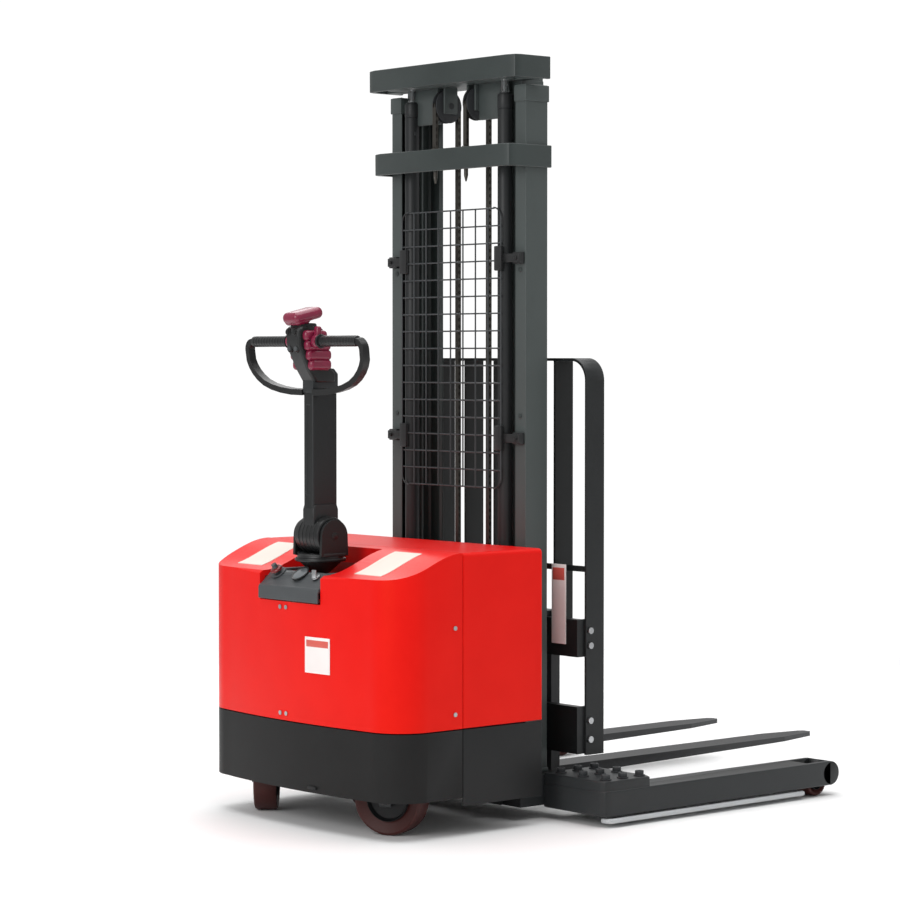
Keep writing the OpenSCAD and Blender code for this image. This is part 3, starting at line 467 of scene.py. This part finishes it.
def skirts():
    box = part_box("rear_skirt")
    low, high = box[0].z / MM, box[1].z / MM
    skirt = outline("rear_skirt_cover", body_plan(0, SEAM), high - low, "xy", low, 0)
    inner = outline("inner", body_plan(5, SEAM + 20), high - low, "xy", low - 12, 0)
    cut(skirt, inner)
    # small moulded tab on the rear face
    tab = block("tab", (BACK + 1.5 - 4, BACK + 4), (-118, -84), (low + 10, low + 18), 1.5)
    skirt = merge("rear_skirt_cover", [skirt, tab])
    soften(skirt, 2.2, 3, 50)
    put(skirt, SKIRT, "chassis", "black_paint", "rear_skirt")
    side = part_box("side_skirts")
    bottom = side[0].z / MM
    panels = []
    for s in (1, -1):
        ys = span(s, HALF - 5, HALF)
        panels.append(block("panel", (SEAM + 3, FRONT), ys, (bottom, SPLIT), 1.5))
    put(merge("side_skirt_covers", panels), SKIRT, "chassis", "black_paint", "side_skirts")


rear_hood()
hood_pads()
front_hood()
skirts()

# ---- mast ----

MAST_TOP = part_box("inner_mast_frame")[1].z / MM
BEAM = 61
# how far the lift cylinders and the chains stand from the middle of the mast
CYLINDER_Y = 200
CHAIN_Y = 66


def bent_beam(name, half, front, z0):
    """A cross beam of thick plate bent round the back and sides of the mast."""
    back = -71
    ring = [(front, half), (back + 26, half), (back + 8, half - 9), (back, half - 34), (back - 3, 0)]
    far = [(x, -y) for x, y in reversed(ring[:-1])]
    inner = [(x + 12 if x < front else x + 1, y - math.copysign(12, y) if y else 0)
             for x, y in ring + far]
    beam = outline(name, ring + far, BEAM, "xy", z0, 0)
    cut(beam, outline("inner", inner, BEAM + 10, "xy", z0 - 5, 0))
    soften(beam, 2.5, 3, 30)
    return beam


def rail(name, x, y_out, flange, z0, z1, s):
    """A rolled mast channel with rounded corners and filleted roots."""
    d, t = 80, 10

    def y(v):
        return s * (y_out - v)

    pts = [(x, y(0)), (x + d, y(0)), (x + d, y(flange)), (x + d - 4, y(flange)),
           (x + d - t, y(flange - 6)), (x + d - t, y(t + 6)), (x + d - t - 6, y(t)),
           (x + t + 6, y(t)), (x + t, y(t + 6)), (x + t, y(flange - 6)), (x + 4, y(flange)),
           (x, y(flange))]
    return outline(name, pts if s > 0 else pts[::-1], z1 - z0, "xy", z0, 1.2)


def outer_mast():
    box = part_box("outer_mast_frame")
    z0, z1 = box[0].z / MM, box[1].z / MM
    parts = [rail("rail", 0, 288, 43, z0, z1, s) for s in (1, -1)]
    parts.append(bent_beam("beam", 297, 88, 1780))
    for s in (1, -1):
        # gussets and lugs that weld the beam to the rails
        for u in (262, 278):
            ys = span(s, u, u + 8)
            parts.append(block("lug", (-60, 1), ys, (1786, 1835), 1))
        parts.append(block("lug", (14, 66), span(s, 287, 292), (1788, 1833), 1))
        parts.append(block("anchor_plate", (-60, -10), span(s, 50, 82), (1802, 1814), 1))
        # wear pad holders at the top of the rails
        parts.append(block("pad_holder", (-4, 84), span(s, 243, 291), (z1 - 46, z1 - 1), 2))
        # foot plates welded between rail and crossmember
        parts.append(block("foot", (-2, 82), span(s, 240, 292), (z0, z0 + 10), 1.5))
        for z in (430, 700, 1100, 1500):
            parts.append(rod("rivet", (-3, s * 266, z), (1, s * 266, z), 7, 1, sides=24))
    put(merge("outer_mast", parts), MAST, "chassis", "black_paint", "outer_mast_frame")


def inner_mast():
    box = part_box("inner_mast_frame")
    z0 = box[0].z / MM
    top = MAST_TOP - BEAM
    parts = [rail("rail", 26, 243, 58, z0, top + 2, s) for s in (1, -1)]
    parts.append(bent_beam("head_beam", 322, 60, top))
    parts.append(block("head_plate", (-58, 105), (-242, 242), (top, top + 12), 1.5))
    parts.append(block("lower_tie", (26, 36), (-236, 236), (z0, z0 + 60), 1.5))
    for s in (1, -1):
        # hanger plates that hold the pulleys and reach out to the rails
        parts.append(block("hanger", (6, 18), span(s, 86, CYLINDER_Y), (top - 100, top + 2), 2))
        parts.append(block("shoulder", (1, 40), span(s, 242, 311), (top, top + 12), 1.5))
        for y in (46, 78):
            parts.append(block("cheek", (-6, 42), span(s, y, y + 8), (top - 74, top + 1), 2.5))
        # rod caps bolted through the head plate
        ends = [(2, s * CYLINDER_Y, top + rise) for rise in (12, 24)]
        parts.append(rod("rod_nut", *ends, 15, 1, sides=6))
        parts.append(rod("stud", (40, s * 242, z0 + 46), (40, s * 275, z0 + 46), 10.9, 0.5))
    put(merge("inner_mast", parts), MAST, "inner_mast", "black_paint", "inner_mast_frame")


def mesh_guard():
    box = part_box("mesh_guard")
    z0, z1 = box[0].z / MM, box[1].z / MM
    half, x, r = 213, -24.5, 2.2
    wires = []
    for i in range(9):
        y = half - 2 * half * i / 8
        # the outermost wires stop at the rounded corners
        end = 30 if i in (0, 8) else 2
        wires.append([(x, y, z0 + end), (x, y, z1 - end)])
    for i in range(17):
        z = z0 + 2 + (z1 - z0 - 4) * i / 16
        end = 30 if i in (0, 16) else 0
        wires.append([(x + 2, half - end, z), (x + 2, end - half, z)])
    for s in (1, -1):
        for centre, a0 in ((z1 - 30, 0), (z0 + 30, -90)):
            bend = arc(half - 30, centre, 30, a0, a0 + 90, 6)
            wires.append([(x, s * y, z) for y, z in bend])
    guard = tube("guard_wires", wires, r, 2)
    put(guard, POWDER, "chassis", "black_paint", "mesh_guard")
    clips = []
    for s in (1, -1):
        for z in (z0 + 110, z1 - 170):
            clips.append(block("strap", (-21, -15), span(s, 200, 284), (z + 18, z + 42), 1.5))
            clips.append(block("pad", (-16, -1), span(s, 250, 284), (z + 14, z + 46), 2))
            clips.append(rod("screw", (-25, s * 270, z + 30), (-20, s * 270, z + 30), 6, 1, sides=24))
            clips.append(block("jaw", (-31, -18), span(s, 190, 219), (z - 4, z + 64), 3))
    put(merge("guard_clips", clips), BLACK_ABS, "chassis", "black_paint")


def cylinders():
    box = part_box("lift_cylinders")
    z0, z1 = box[0].z / MM, box[1].z / MM
    parts = []
    for s in (1, -1):
        parts.append(rod("barrel", (2, s * CYLINDER_Y, z0), (2, s * CYLINDER_Y, z1 - 44), 20.5, 1.5))
        parts.append(rod("gland", (2, s * CYLINDER_Y, z1 - 44), (2, s * CYLINDER_Y, z1 - 4), 21, 2))
        parts.append(rod("wiper", (2, s * CYLINDER_Y, z1 - 4), (2, s * CYLINDER_Y, z1), 17, 1))
        for z in (z0 + 60, z1 - 90):
            parts.append(rod("port", (2, s * 178, z), (2, s * CYLINDER_Y, z), 9, 1, sides=6))
    put(merge("cylinder_barrels", parts), POWDER, "chassis", "black_paint", "lift_cylinders")


def leaf_chain(name, x, y, z0, z1):
    """A leaf chain: rows of waisted link plates on cross pins."""
    pitch = 19.05
    count = max(1, int((z1 - z0) / pitch))
    pitch = (z1 - z0) / count
    links = []
    for row, shift in ((-5.5, 0), (-1.8, 1), (1.8, 0), (5.5, 1)):
        ends = [*arc(0, 0, 5, 180, 360, 6), *arc(0, pitch, 5, 0, 180, 6)]
        link = outline("link", ends, 3, "xz", row - 1.5, 0)
        link.data.transform(Matrix.Translation((x * MM, y * MM, (z0 + shift * pitch / 2) * MM)))
        links.append(link)
    pin = rod("pin", (x, y - 8, z0), (x, y + 8, z0), 2.4, 0, sides=10)
    unit = merge("links", [*links, pin])
    run = unit.modifiers.new("run", "ARRAY")
    run.count = count
    run.use_relative_offset = False
    run.use_constant_offset = True
    run.constant_offset_displace = (0, 0, pitch * MM)
    apply_all(unit)
    unit.name = name
    return unit


def chains():
    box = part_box("front_chains")
    z0, z1 = box[0].z / MM, box[1].z / MM
    runs = [leaf_chain("run", 60, s * CHAIN_Y, z0 + 6, z1 - 6) for s in (1, -1)]
    front = merge("front_leaf_chains", runs)
    put(front, CHAIN, "inner_mast", "chain_steel", "front_chains")
    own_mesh(front)
    parts = []
    for s in (1, -1):
        parts.append(leaf_chain("run", -24, s * CHAIN_Y, 1842, z1 - 6))
        parts.append(block("clevis", (-33, -15), (s * CHAIN_Y - 8, s * CHAIN_Y + 8), (1815, 1848), 2))
        parts.append(rod("anchor_bolt", (-24, s * CHAIN_Y, 1766), (-24, s * CHAIN_Y, 1820), 6, 0.8))
        parts.append(rod("bolt_point", (-24, s * CHAIN_Y, 1749), (-24, s * CHAIN_Y, 1766), 2, 0.4, r2=6))
        for z in (1786, 1796):
            ends = [(-24, s * CHAIN_Y, z + rise) for rise in (0, 8)]
            parts.append(rod("lock_nut", *ends, 11, 0.8, sides=6))
    put(merge("rear_leaf_chains", parts), CHAIN, "chassis", "chain_steel", "rear_chains")
    wheels = []
    zp = MAST_TOP - BEAM - 52
    for s in (1, -1):
        for y in (56, 72):
            wheels.append(rod("flange", (18, s * y, zp), (18, s * (y + 4), zp), 47, 1.2))
        wheels.append(rod("groove", (18, s * 58, zp), (18, s * 74, zp), 36, 0.5))
        wheels.append(rod("axle", (18, s * 44, zp), (18, s * 88, zp), 9, 0.8, sides=32))
    put(merge("pulley_wheels", wheels), CAST, "pulleys", "cast_housing", "chain_pulleys")


outer_mast()
inner_mast()
mesh_guard()
cylinders()
chains()

# ---- tiller ----

# height of the pin that the tiller tilts about
PIVOT = 780


def tiller_base():
    parts = [rod("column", (TX, 0, 230), (TX, 0, PIVOT - 79), 22, 1),
             rod("flange", (TX, 0, PIVOT - 70), (TX, 0, PIVOT - 60), 70, 4),
             rod("dome", (TX, 0, PIVOT - 61), (TX, 0, PIVOT - 48), 66, 5, r2=60),
             rod("bell", (TX, 0, PIVOT - 100), (TX, 0, PIVOT - 69), 26, 2, r2=60)]
    for s in (1, -1):
        cheek = [(TX - 46, PIVOT - 54), (TX + 46, PIVOT - 54), (TX + 44, PIVOT),
                 *arc(TX, PIVOT, 44, 8, 172, 16), (TX - 44, PIVOT)]
        parts.append(outline("cheek", cheek, 9, "xz", 54 if s > 0 else -63, 5, steps=4))
        parts.append(block("foot", (TX - 38, TX + 38), span(s, 48, 64), (PIVOT - 56, PIVOT - 46), 2))
        for u in (-44, 44):
            ends = [(TX + u, s * 22, PIVOT - rise) for rise in (54, 47)]
            parts.append(rod("bolt", *ends, 8, 1, sides=6))
    put(merge("tiller_yoke", parts), BLACK_ABS, "steering_column", "black_paint", "tiller_base")
    pin = [rod("pin", (TX, -64, PIVOT), (TX, 64, PIVOT), 10, 1)]
    put(merge("pivot_pin", pin), BLACK_ABS, "steering_column", "bright_steel", "tiller_pivot_pin")


def tiller_arm():
    drum = rod("drum", (TX, -52, PIVOT), (TX, 52, PIVOT), 51, 6)
    dish(drum, (0, 1, 0), 12, 3)
    parts = [drum]
    for i in range(5):
        y = -32 + i * 16
        parts.append(rod("rib", (TX, y - 2, PIVOT), (TX, y + 2, PIVOT), 52, 1))
    # fairing that carries the tube's shape down over the drum
    side = [(TX - 43, PIVOT + 20), (TX + 43, PIVOT + 20), (TX + 43, PIVOT + 70), (TX + 38, PIVOT + 84),
            (TX - 38, PIVOT + 84), (TX - 43, PIVOT + 70)]
    parts.append(outline("fairing", side, 50, "xz", -25, 5))
    put(merge("tiller_drum", parts), BLACK_ABS, "tiller", "boot_rubber", "tiller_boot")
    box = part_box("tiller_tube")
    tube_body = block("tube", (TX - 42, TX + 42), (-21, 21), (PIVOT + 48, box[1].z / MM - 14), 6, 4)
    cut(tube_body, block("groove", (TX - 44, TX - 40.5), (-9, 9), (PIVOT + 110, box[1].z / MM - 60), 0))
    soften(tube_body, 0.8, 2, 50)
    side = [(TX - 43.5, 1164), (TX + 43.5, 1164), (TX + 43.5, 1216), (TX + 30, 1230), (TX - 34, 1230),
            (TX - 43.5, 1218)]
    collar = outline("collar", side, 48, "xz", -24, 4)
    screws = []
    for s in (1, -1):
        for u in (-13, 17):
            ends = [(TX + u, s * y, 1198) for y in (23, 25.5)]
            screws.append(rod("screw", *ends, 4.5, 1, sides=24))
    put(merge("tiller_column", [tube_body, collar]), POWDER, "tiller", "black_paint", "tiller_tube")
    put(merge("collar_screws", screws), ZINC, "tiller", "bright_steel")


# the bar of the handle: how far back it stands and how high
GX = TX - 52
GZ = 1303
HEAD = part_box("head_housing")
# the head's ribs from the collar up: height of the middle, rear end and front end
RIBS = ((1240, -64, 8), (1266, -72, 8), (1292, -78, 6), (1318, -82, -6))


def head():
    top = HEAD[1].z / MM
    side = [(TX - 40, 1192.4), (TX + 32, 1192.4), (TX + 32, 1220), (TX + 14, 1236), (TX + 8, top - 34),
            (TX - 10, top - 8), (TX - 24, top), (TX - 88, top), (TX - 98, top - 12), (TX - 94, GZ - 14),
            (TX - 64, 1228)]
    parts = [outline("core", side, 58, "xz", -29, 8)]
    # neck under the belly button
    parts.append(block("neck", (TX - 86, TX - 26), (-22, 22), (top - 12, top + 8), 6, 3))
    # shoulder rings where the grips leave the head
    for s in (1, -1):
        parts.append(rod("shoulder", (GX, s * 28, GZ), (GX, s * 46, GZ), 15, 3))
    put(merge("head_body", parts), BLACK_ABS, "tiller", "black_plastic", "head_housing")
    # ribbed shells: padded lobes stacked down each side and round the front
    for s, name in ((1, "left"), (-1, "right")):
        lobes = [block("lobe", (TX + u0, TX + u1), span(s, 20, 45), (z - 14.5, z + 14.5), 11, 5)
                 for z, u0, u1 in RIBS]
        put(merge(f"{name}_ribbed_shell", lobes), CLARET, "tiller", "red_plastic",
            *(["head_shell"] if s > 0 else []))
    front = [block("front_lobe", (TX + u1 - 24, TX + u1 + 6), (-33, 33), (z - 13, z + 13), 10, 5)
             for z, u0, u1 in RIBS]
    put(merge("front_ribs", front), CLARET, "tiller", "red_plastic")


def loop():
    """The handle: grips on a bar, running round into a flattened guard under the hands."""
    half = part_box("handle_loop")[1].y / MM
    turn = 24
    centre = half - 9
    path = [(70, 0), (150, 0), *[(v, w) for v, w in arc(centre - turn, -turn + 1, turn, 90, 0, 8)],
            (centre - 1, -50), (centre - 8, -66), (centre - 20, -82), (centre - 38, -98),
            (centre - 62, -112), (centre - 94, -123), (centre - 134, -131), (centre - 180, -136),
            (22, -137)]
    bands = []
    for s in (1, -1):
        ring = [(s * y, GZ + z) for y, z in ribbon(path, 8.2)]
        bands.append(outline("guard", ring, 22, "yz", GX - 11, 5, steps=4))
    guard = merge("guard", bands)
    swing(guard, "Y", -7, (GX, 0, GZ))
    bar = rod("bar", (GX, -70, GZ), (GX, 70, GZ), 10, 0.5)
    put(merge("handle_guard", [guard, bar]), BLACK_ABS, "tiller", "black_plastic", "handle_loop")
    grips = []
    for s in (1, -1):
        grips.append(rod("flange", (GX, s * 67, GZ), (GX, s * 73, GZ), 19, 2))
        grips.append(rod("grip", (GX, s * 70, GZ), (GX, s * (centre - 22), GZ), 14.5, 4))
        for i in range(12):
            y = 80 + i * 12
            grips.append(rod("ring", (GX, s * y, GZ), (GX, s * (y + 6), GZ), 15, 1.2))
    put(merge("grips", grips), BLACK_ABS, "tiller", "black_plastic")
    wings = []
    for s in (1, -1):
        wings.append(rod("hub", (GX, s * 46.5, GZ), (GX, s * 66, GZ), 19, 5))
        wings.append(block("paddle", (GX - 8, GX + 8), span(s, 46.5, 66), (GZ + 8, GZ + 40), 6, 4))
    put(merge("throttle_paddles", wings), CLARET, "throttle", "red_plastic", "throttle_wings")


def belly():
    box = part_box("belly_button")
    x0, x1 = box[0].x / MM - REAR, box[1].x / MM - REAR
    cap = block("cap", (x0 + 3, x1 - 1), (-34, 34), (1356, 1388), 15, 7)
    brow = block("brow", (x0 + 8, x1 - 44), (-31, 31), (1352, 1374), 10, 6)
    parts = [swing(part, "Y", -13, (TX - 60, 0, 1366)) for part in (cap, brow)]
    parts.append(rod("stem", (TX - 48, 0, 1330), (TX - 48, 0, 1360), 8, 0.5))
    put(merge("belly_cap", parts), CLARET, "belly_switch", "red_plastic", "belly_button")


def keys():
    for node, body, y, z, x, material, slot in (
            ("lift_button", "lift_key", 14, GZ + 25, -103, BLACK_ABS, "black_plastic"),
            ("lower_button", "lower_key", -14, GZ + 25, -103, BLACK_ABS, "black_plastic"),
            ("horn_button", "horn_key", 14, GZ - 20, -97, DASH, "white_plastic"),
            ("speed_button", "speed_key", -14, GZ - 20, -97, DASH, "white_plastic")):
        knob = rod(node + "_cap", (TX + x, y, z), (TX + x + 20, y, z), 7, 2)
        put(knob, material, body, slot, node)
        bezel = rod(node + "_bezel", (TX + x + 4, y, z), (TX + x + 12, y, z), 10.5, 1.5)
        put(bezel, BLACK_ABS, "tiller")


tiller_base()
tiller_arm()
head()
loop()
belly()
keys()

# ---- wheels ----

def roller(name, centre, axis, r, w, core, material, slot, body, nodes):
    """A tyre with a rounded tread and a dished core of another material, bolted through its middle."""
    centre = Vector(centre)
    axis = Vector(axis).normalized()
    ends = [centre - axis * w / 2, centre + axis * w / 2]
    tyre = rod(name + "_tyre", ends[0], ends[1], r, 7)
    dish(tyre, axis, r - core, 14)
    soften(tyre, 1.5, 2, 50)
    put(tyre, material, body, slot, *nodes)
    hub = rod(name + "_hub", centre - axis * (w / 2 - 1), centre + axis * (w / 2 - 1), core - 2, 1.5)
    dish(hub, axis, 6, min(12, w * 0.18))
    caps = [hub]
    for s in (1, -1):
        ends = [centre + axis * s * reach for reach in (w / 2 - 8, w / 2 + 1)]
        caps.append(rod("boss", *ends, core * 0.36, 1.5))
    put(merge(name + "_core", caps), NYLON, body)


def middle(node):
    low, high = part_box(node)
    spot = (low + high) / 2 / MM
    return spot.x - REAR, spot.y, spot.z


def caster(name):
    joint = {j["name"]: j for j in frame["joints"]}
    axis = Vector(joint[f"{name}_caster_roll"]["axis"])
    swivel = joint[f"{name}_caster_swivel"]["pos_m"]
    centre = Vector(middle(f"caster_wheel_{name}"))
    roller(f"{name}_caster", centre, axis, 97, 64, 62, TYRE, "tyre_brown", f"{name}_caster_roller",
           [f"caster_wheel_{name}"])
    pin = Vector((swivel[0] / MM - REAR, swivel[1] / MM, 0))
    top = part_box(f"caster_fork_{name}")[1].z / MM
    along = Vector((-axis.y, axis.x, 0))
    parts = [rod("plate", pin + Vector((0, 0, top - 17)), pin + Vector((0, 0, top - 9)), 46, 2),
             rod("race", pin + Vector((0, 0, top - 24)), pin + Vector((0, 0, top - 16)), 40, 2),
             rod("kingpin", pin + Vector((0, 0, top - 10)), pin + Vector((0, 0, top)), 12, 0.5)]
    turn = math.atan2(along.y, along.x)
    for s in (1, -1):
        # pressed fork blades that taper down to the axle
        blade = outline("blade", [(-17, -20), (17, -20), (46, 98), (-14, 98)], 5, "xz", 35, 1.5)
        lay(blade, centre, turn, s)
        parts.append(blade)
        ends = [centre + axis * s * 34, centre + axis * s * 43.5]
        parts.append(rod("axle_end", ends[0], ends[1], 15, 1.5, sides=6))
    parts.append(rod("axle", centre - axis * 43, centre + axis * 43, 9, 0.5))
    put(merge(f"{name}_caster_yoke", parts), POWDER, f"{name}_caster", "black_paint",
        f"caster_fork_{name}")


def lay(piece, centre, turn, s):
    """Turns a piece that was drawn round the mast's origin to a caster's heading and carries it there."""
    origin = place(0, 0, 0)
    bpy.ops.object.select_all(action="DESELECT")
    piece.select_set(True)
    bpy.context.view_layer.objects.active = piece
    bpy.ops.transform.translate(value=-origin)
    bpy.ops.object.transform_apply(location=True)
    piece.scale.y = s
    piece.rotation_euler.z = turn
    piece.location = place(*centre)
    bpy.ops.object.transform_apply(location=True, rotation=True, scale=True)
    outward(piece)


for hand in ("left", "right"):
    caster(hand)
    roller(f"{hand}_load", middle(f"load_wheel_{hand}"), (0, 1, 0), 40, 62, 24, TYRE, "tyre_brown",
           f"{hand}_load_roller", [f"load_wheel_{hand}"])
roller("drive", (-268, 0, 105), (0, 1, 0), 105, 72, 70, TYRE, "tyre_brown", "drive_roller",
       ["drive_wheel"])

# ---- straddle legs ----

# width of the block that bolts a leg to the chassis
LEG_BLOCK = 246


def leg(side, name):
    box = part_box(f"straddle_leg_{name}")
    y1 = max(abs(box[0].y), abs(box[1].y)) / MM - 6
    tip = box[1].x / MM - REAR
    axle = tip - 74
    inner = y1 - LEG_BLOCK
    track = y1 - 100
    # plan of the leg: the mounting block, a waisted root and the long arm
    plan = [(20, inner), (205, inner), (205, track - 34), (222, track - 8), (240, track),
            (tip - 34, track), (tip - 34, y1), (48, y1), (28, y1 - 8), (20, y1 - 28)]
    arm = outline("arm", plan_on(side, plan), 69, "xy", 30, 4)
    nose = rod("nose", (tip - 34.5, side * track, 64.5), (tip - 34.5, side * y1, 64.5), 34.3, 3)
    well = block("well", (axle - 46, axle + 46), span(side, track + 16, y1 - 16), (0, 110), 0)
    twin = copy(well, "well")
    body = merge("arm", [cut(arm, well), cut(nose, twin)])
    top = [(21, inner + 1), (204, inner + 1), (204, y1 - 30), (190, y1 - 4), (48, y1 - 4), (30, y1 - 10),
           (22, y1 - 28)]
    raised = outline("raised", plan_on(side, top), 32, "xy", 93, 4)
    bump = rod("hump", (196, side * (y1 - 70), 90), (196, side * (y1 - 70), 117), 30, 6, r2=22)
    put(merge(f"{name}_leg", [body, raised, bump]), POWDER, "chassis", "black_paint",
        f"straddle_leg_{name}")
    skid = [(30, y1 - 30), (tip - 150, y1 - 30), (tip - 150, y1 + 5), (50, y1 + 5), (34, y1 - 2),
            (30, y1 - 14)]
    strip = outline(f"{name}_skid", plan_on(side, skid), 13, "xy", 12, 4)
    put(strip, SKID, "chassis")


def leg_bolts():
    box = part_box("leg_bolts")
    z = box[0].z / MM
    y0 = 340
    screws = []
    for side in (1, -1):
        for u in (0.18, 0.52, 0.86):
            for v in (0.14, 0.5, 0.86):
                x, y = 20 + 185 * u, side * (y0 + LEG_BLOCK * v)
                screw = rod("screw", (x, y, z + 2), (x, y, z + 14), 12, 1.5, sides=32)
                socket = rod("socket", (x, y, z + 6), (x, y, z + 20), 6.5, 0, sides=6)
                cut(screw, socket)
                screws.append(screw)
                screws.append(rod("washer", (x, y, z), (x, y, z + 2.4), 16, 0.6, sides=32))
    put(merge("leg_screws", screws), CAST, "chassis", "bright_steel", "leg_bolts")


leg(1, "left")
leg(-1, "right")
leg_bolts()

# ---- dashboard ----

def dashboard():
    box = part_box("dash_panel")
    wide = box[1].y / MM
    x0 = box[0].x / MM - REAR
    z0 = box[0].z / MM
    x1 = TX - 62
    lip = z0 + 40
    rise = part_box("dash_panel")[1].z / MM - lip
    side = [(x0, z0), (x0, lip - 8), (x0 + 3, lip - 2), (x0 + 9, lip), (x1, lip + rise),
            (x1, lip + rise - 6), (x0 + 12, lip - 6), (x0 + 6, lip - 14), (x0 + 6, z0)]
    panel = outline("panel", side, 2 * wide, "xz", -wide, 2.5)
    slope = math.atan2(rise, x1 - x0)
    parts = [panel]
    for s in (1, -1):
        height = (lip + rise - 7, lip + rise)
        parts.append(block("arm", (x1 - 4, TX + 104), span(s, wide - 22, wide), height, 2))
    moulding = merge("dash_moulding", parts)
    put(moulding, DASH, "chassis", "dash_plastic", "dash_panel")
    gx = BACK + 36
    up = Vector((-math.sin(slope), 0, math.cos(slope)))

    def on(x, y, d):
        foot = Vector((x, y, lip + (x - x0) * math.tan(slope)))
        return foot + up * d

    sx, sy = BACK + 34, 88
    cut(moulding, rod("bore", on(sx, sy, -60), on(sx, sy, 30), 7.6, 0))
    ring = rod("gauge_ring", on(gx, -8, 0.5), on(gx, -8, 5.4), 27, 1.5)
    dish(ring, up, 4, 2)
    put(ring, BLACK_ABS, "chassis", "white_plastic", "battery_gauge")
    put(rod("gauge_glass", on(gx, -8, 1), on(gx, -8, 4.4), 22, 0.8), GLASS, "chassis")
    mushroom = [rod("head", on(sx, sy, 12), on(sx, sy, 19), 18, 3, r2=15),
                rod("neck", on(sx, sy, 9.6), on(sx, sy, 12.5), 15, 0.8, r2=18),
                rod("stem", on(sx, sy, -4), on(sx, sy, 10), 6.9, 0.3)]
    put(merge("stop_mushroom", mushroom), STOP_RED, "stop_switch", "stop_plastic", "emergency_stop")
    collar = rod("stop_collar", on(sx, sy, 0), on(sx, sy, 3), 22, 1)
    put(cut(collar, rod("bore", on(sx, sy, -10), on(sx, sy, 30), 7.6, 0)), DASH, "chassis")
    kx, ky = BACK + 30, -84
    key = [rod("barrel", on(kx, ky, 0.5), on(kx, ky, 4.5), 12, 0.8)]
    bow = on(kx, ky, 14)
    key.append(block("bow", (bow.x - 1.4, bow.x + 1.4), (ky - 9, ky + 9), (bow.z - 12, bow.z + 10), 1.2))
    put(merge("key", key), ZINC, "key_switch", "bright_steel", "ignition_key")


def small_parts():
    low, high = (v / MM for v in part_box("badge_plate"))
    side = HALF - CORNER
    sweep = (side * side + BOW * BOW) / (2 * BOW)
    middle_y = (low.y + high.y) / 2
    turn = math.asin(-middle_y / sweep)
    centre = (BACK + sweep * (1 - math.cos(turn)), middle_y, 0)
    plate = block("plate", (-2, 0), (-50, 50), (low.z, high.z), 0.6)
    strip = block("strip", (-2.3, -1), (-44, 44), (high.z - 26, high.z - 8), 0.3)
    for piece, material in ((plate, PLATE), (strip, STRIP)):
        lay(piece, centre, turn, 1)
        put(piece, material, "chassis", *(["bright_steel", "badge_plate"] if piece is plate else []))
    # blank data plate standing on the rear of the carriage's upper bar
    blank = block("data_plate", (109.6, 112.2), (-331, -274), (470, 690), 0.6)
    heading = block("data_strip", (109.2, 110.2), (-326, -279), (646, 680), 0.3)
    put(blank, PLATE, "carriage")
    put(heading, STRIP, "carriage")


dashboard()
small_parts()

# ---- what stays as the frame draws it ----

KEPT = {
    "chassis_frame": (POWDER, 1.2), "hood_screws": (ZINC, 0.5), "batteries": (CASE, 3),
    "pump_unit": (CAST, 1.5), "hydraulic_tank": (WHITE, 3), "motor_controller": (SINK, 0.8),
    "load_wheel_pins": (ZINC, 0.8), "steering_chain": (CHAIN, 0.6), "drive_turntable": (CAST, 1.2),
    "drive_gearbox": (CAST, 3), "traction_motor": (POWDER, 2), "lift_rods": (CHROME, 0.6),
    "mast_rollers": (ZINC, 1.5), "upper_rollers": (ZINC, 1.5), "lower_rollers": (ZINC, 1.5),
    "carriage_frame": (POWDER, 2), "fork_left": (FORK, 2.5), "fork_right": (FORK, 2.5),
    "load_backrest": (POWDER, 1.2), "backrest_bolts": (ZINC, 1),
}
for node, (material, width) in KEPT.items():
    piece = frame["nodes"][node]
    piece.data.materials.clear()
    piece.data.materials.append(material)
    weld = piece.modifiers.new("weld", "WELD")
    weld.merge_threshold = 0.00001
    rounding = piece.modifiers.new("edges", "BEVEL")
    rounding.width = width * MM
    rounding.segments = 2
    rounding.limit_method = "ANGLE"
    rounding.angle_limit = math.radians(40)
    rounding.harden_normals = True

# ---- floor, light and camera ----

def stage():
    bpy.ops.object.select_all(action="DESELECT")
    bpy.ops.mesh.primitive_circle_add(vertices=96, radius=4, fill_type="NGON", location=(0, 0, 0))
    floor = bpy.context.object
    floor.name = "studio_floor"
    floor.data.materials.append(coated("white studio floor", "#f4f4f4", "#f8f8f8", 0.7, 20.0, 0.0))
    world = bpy.data.worlds.new("studio")
    world.use_nodes = True
    world.node_tree.nodes["Background"].inputs["Color"].default_value = (1, 1, 1, 1)
    # the backdrop is white to the eye and dimmer as a light
    tree = world.node_tree
    eye = add(tree, "ShaderNodeLightPath").outputs["Is Camera Ray"]
    strength = add(tree, "ShaderNodeMapRange", {"To Min": 0.5, "To Max": 1.05}, Value=eye)
    tree.links.new(strength.outputs["Result"], tree.nodes["Background"].inputs["Strength"])
    bpy.context.scene.world = world
    for name, spot, power, size, aim in (("key", (-5.0, -1.0, 2.6), 85, 2.5, (-0.4, 0, 0.6)),
                                         ("top", (0.0, 0.0, 6.5), 420, 7.0, (0.0, 0, 0.0)),
                                         ("back", (2.5, 4.0, 4.5), 60, 3.0, (-0.2, 0, 1.2))):
        bpy.ops.object.light_add(type="AREA", location=spot)
        lamp = bpy.context.object
        lamp.name = name
        lamp.data.energy = power
        lamp.data.size = size
        lamp.rotation_euler = (Vector(aim) - Vector(spot)).to_track_quat("-Z", "Y").to_euler()


def camera():
    spot = place(-5119.7, -5981.5, 1259.4)
    bpy.ops.object.camera_add(location=spot)
    eye = bpy.context.object
    eye.data.lens = 112
    eye.data.sensor_width = 36
    eye.rotation_euler = Vector((0.648, 0.761, -0.033)).to_track_quat("-Z", "Y").to_euler()
    eye.data.clip_end = 100
    bpy.context.scene.camera = eye


stage()
camera()
bpy.context.scene.view_settings.view_transform = "Standard"
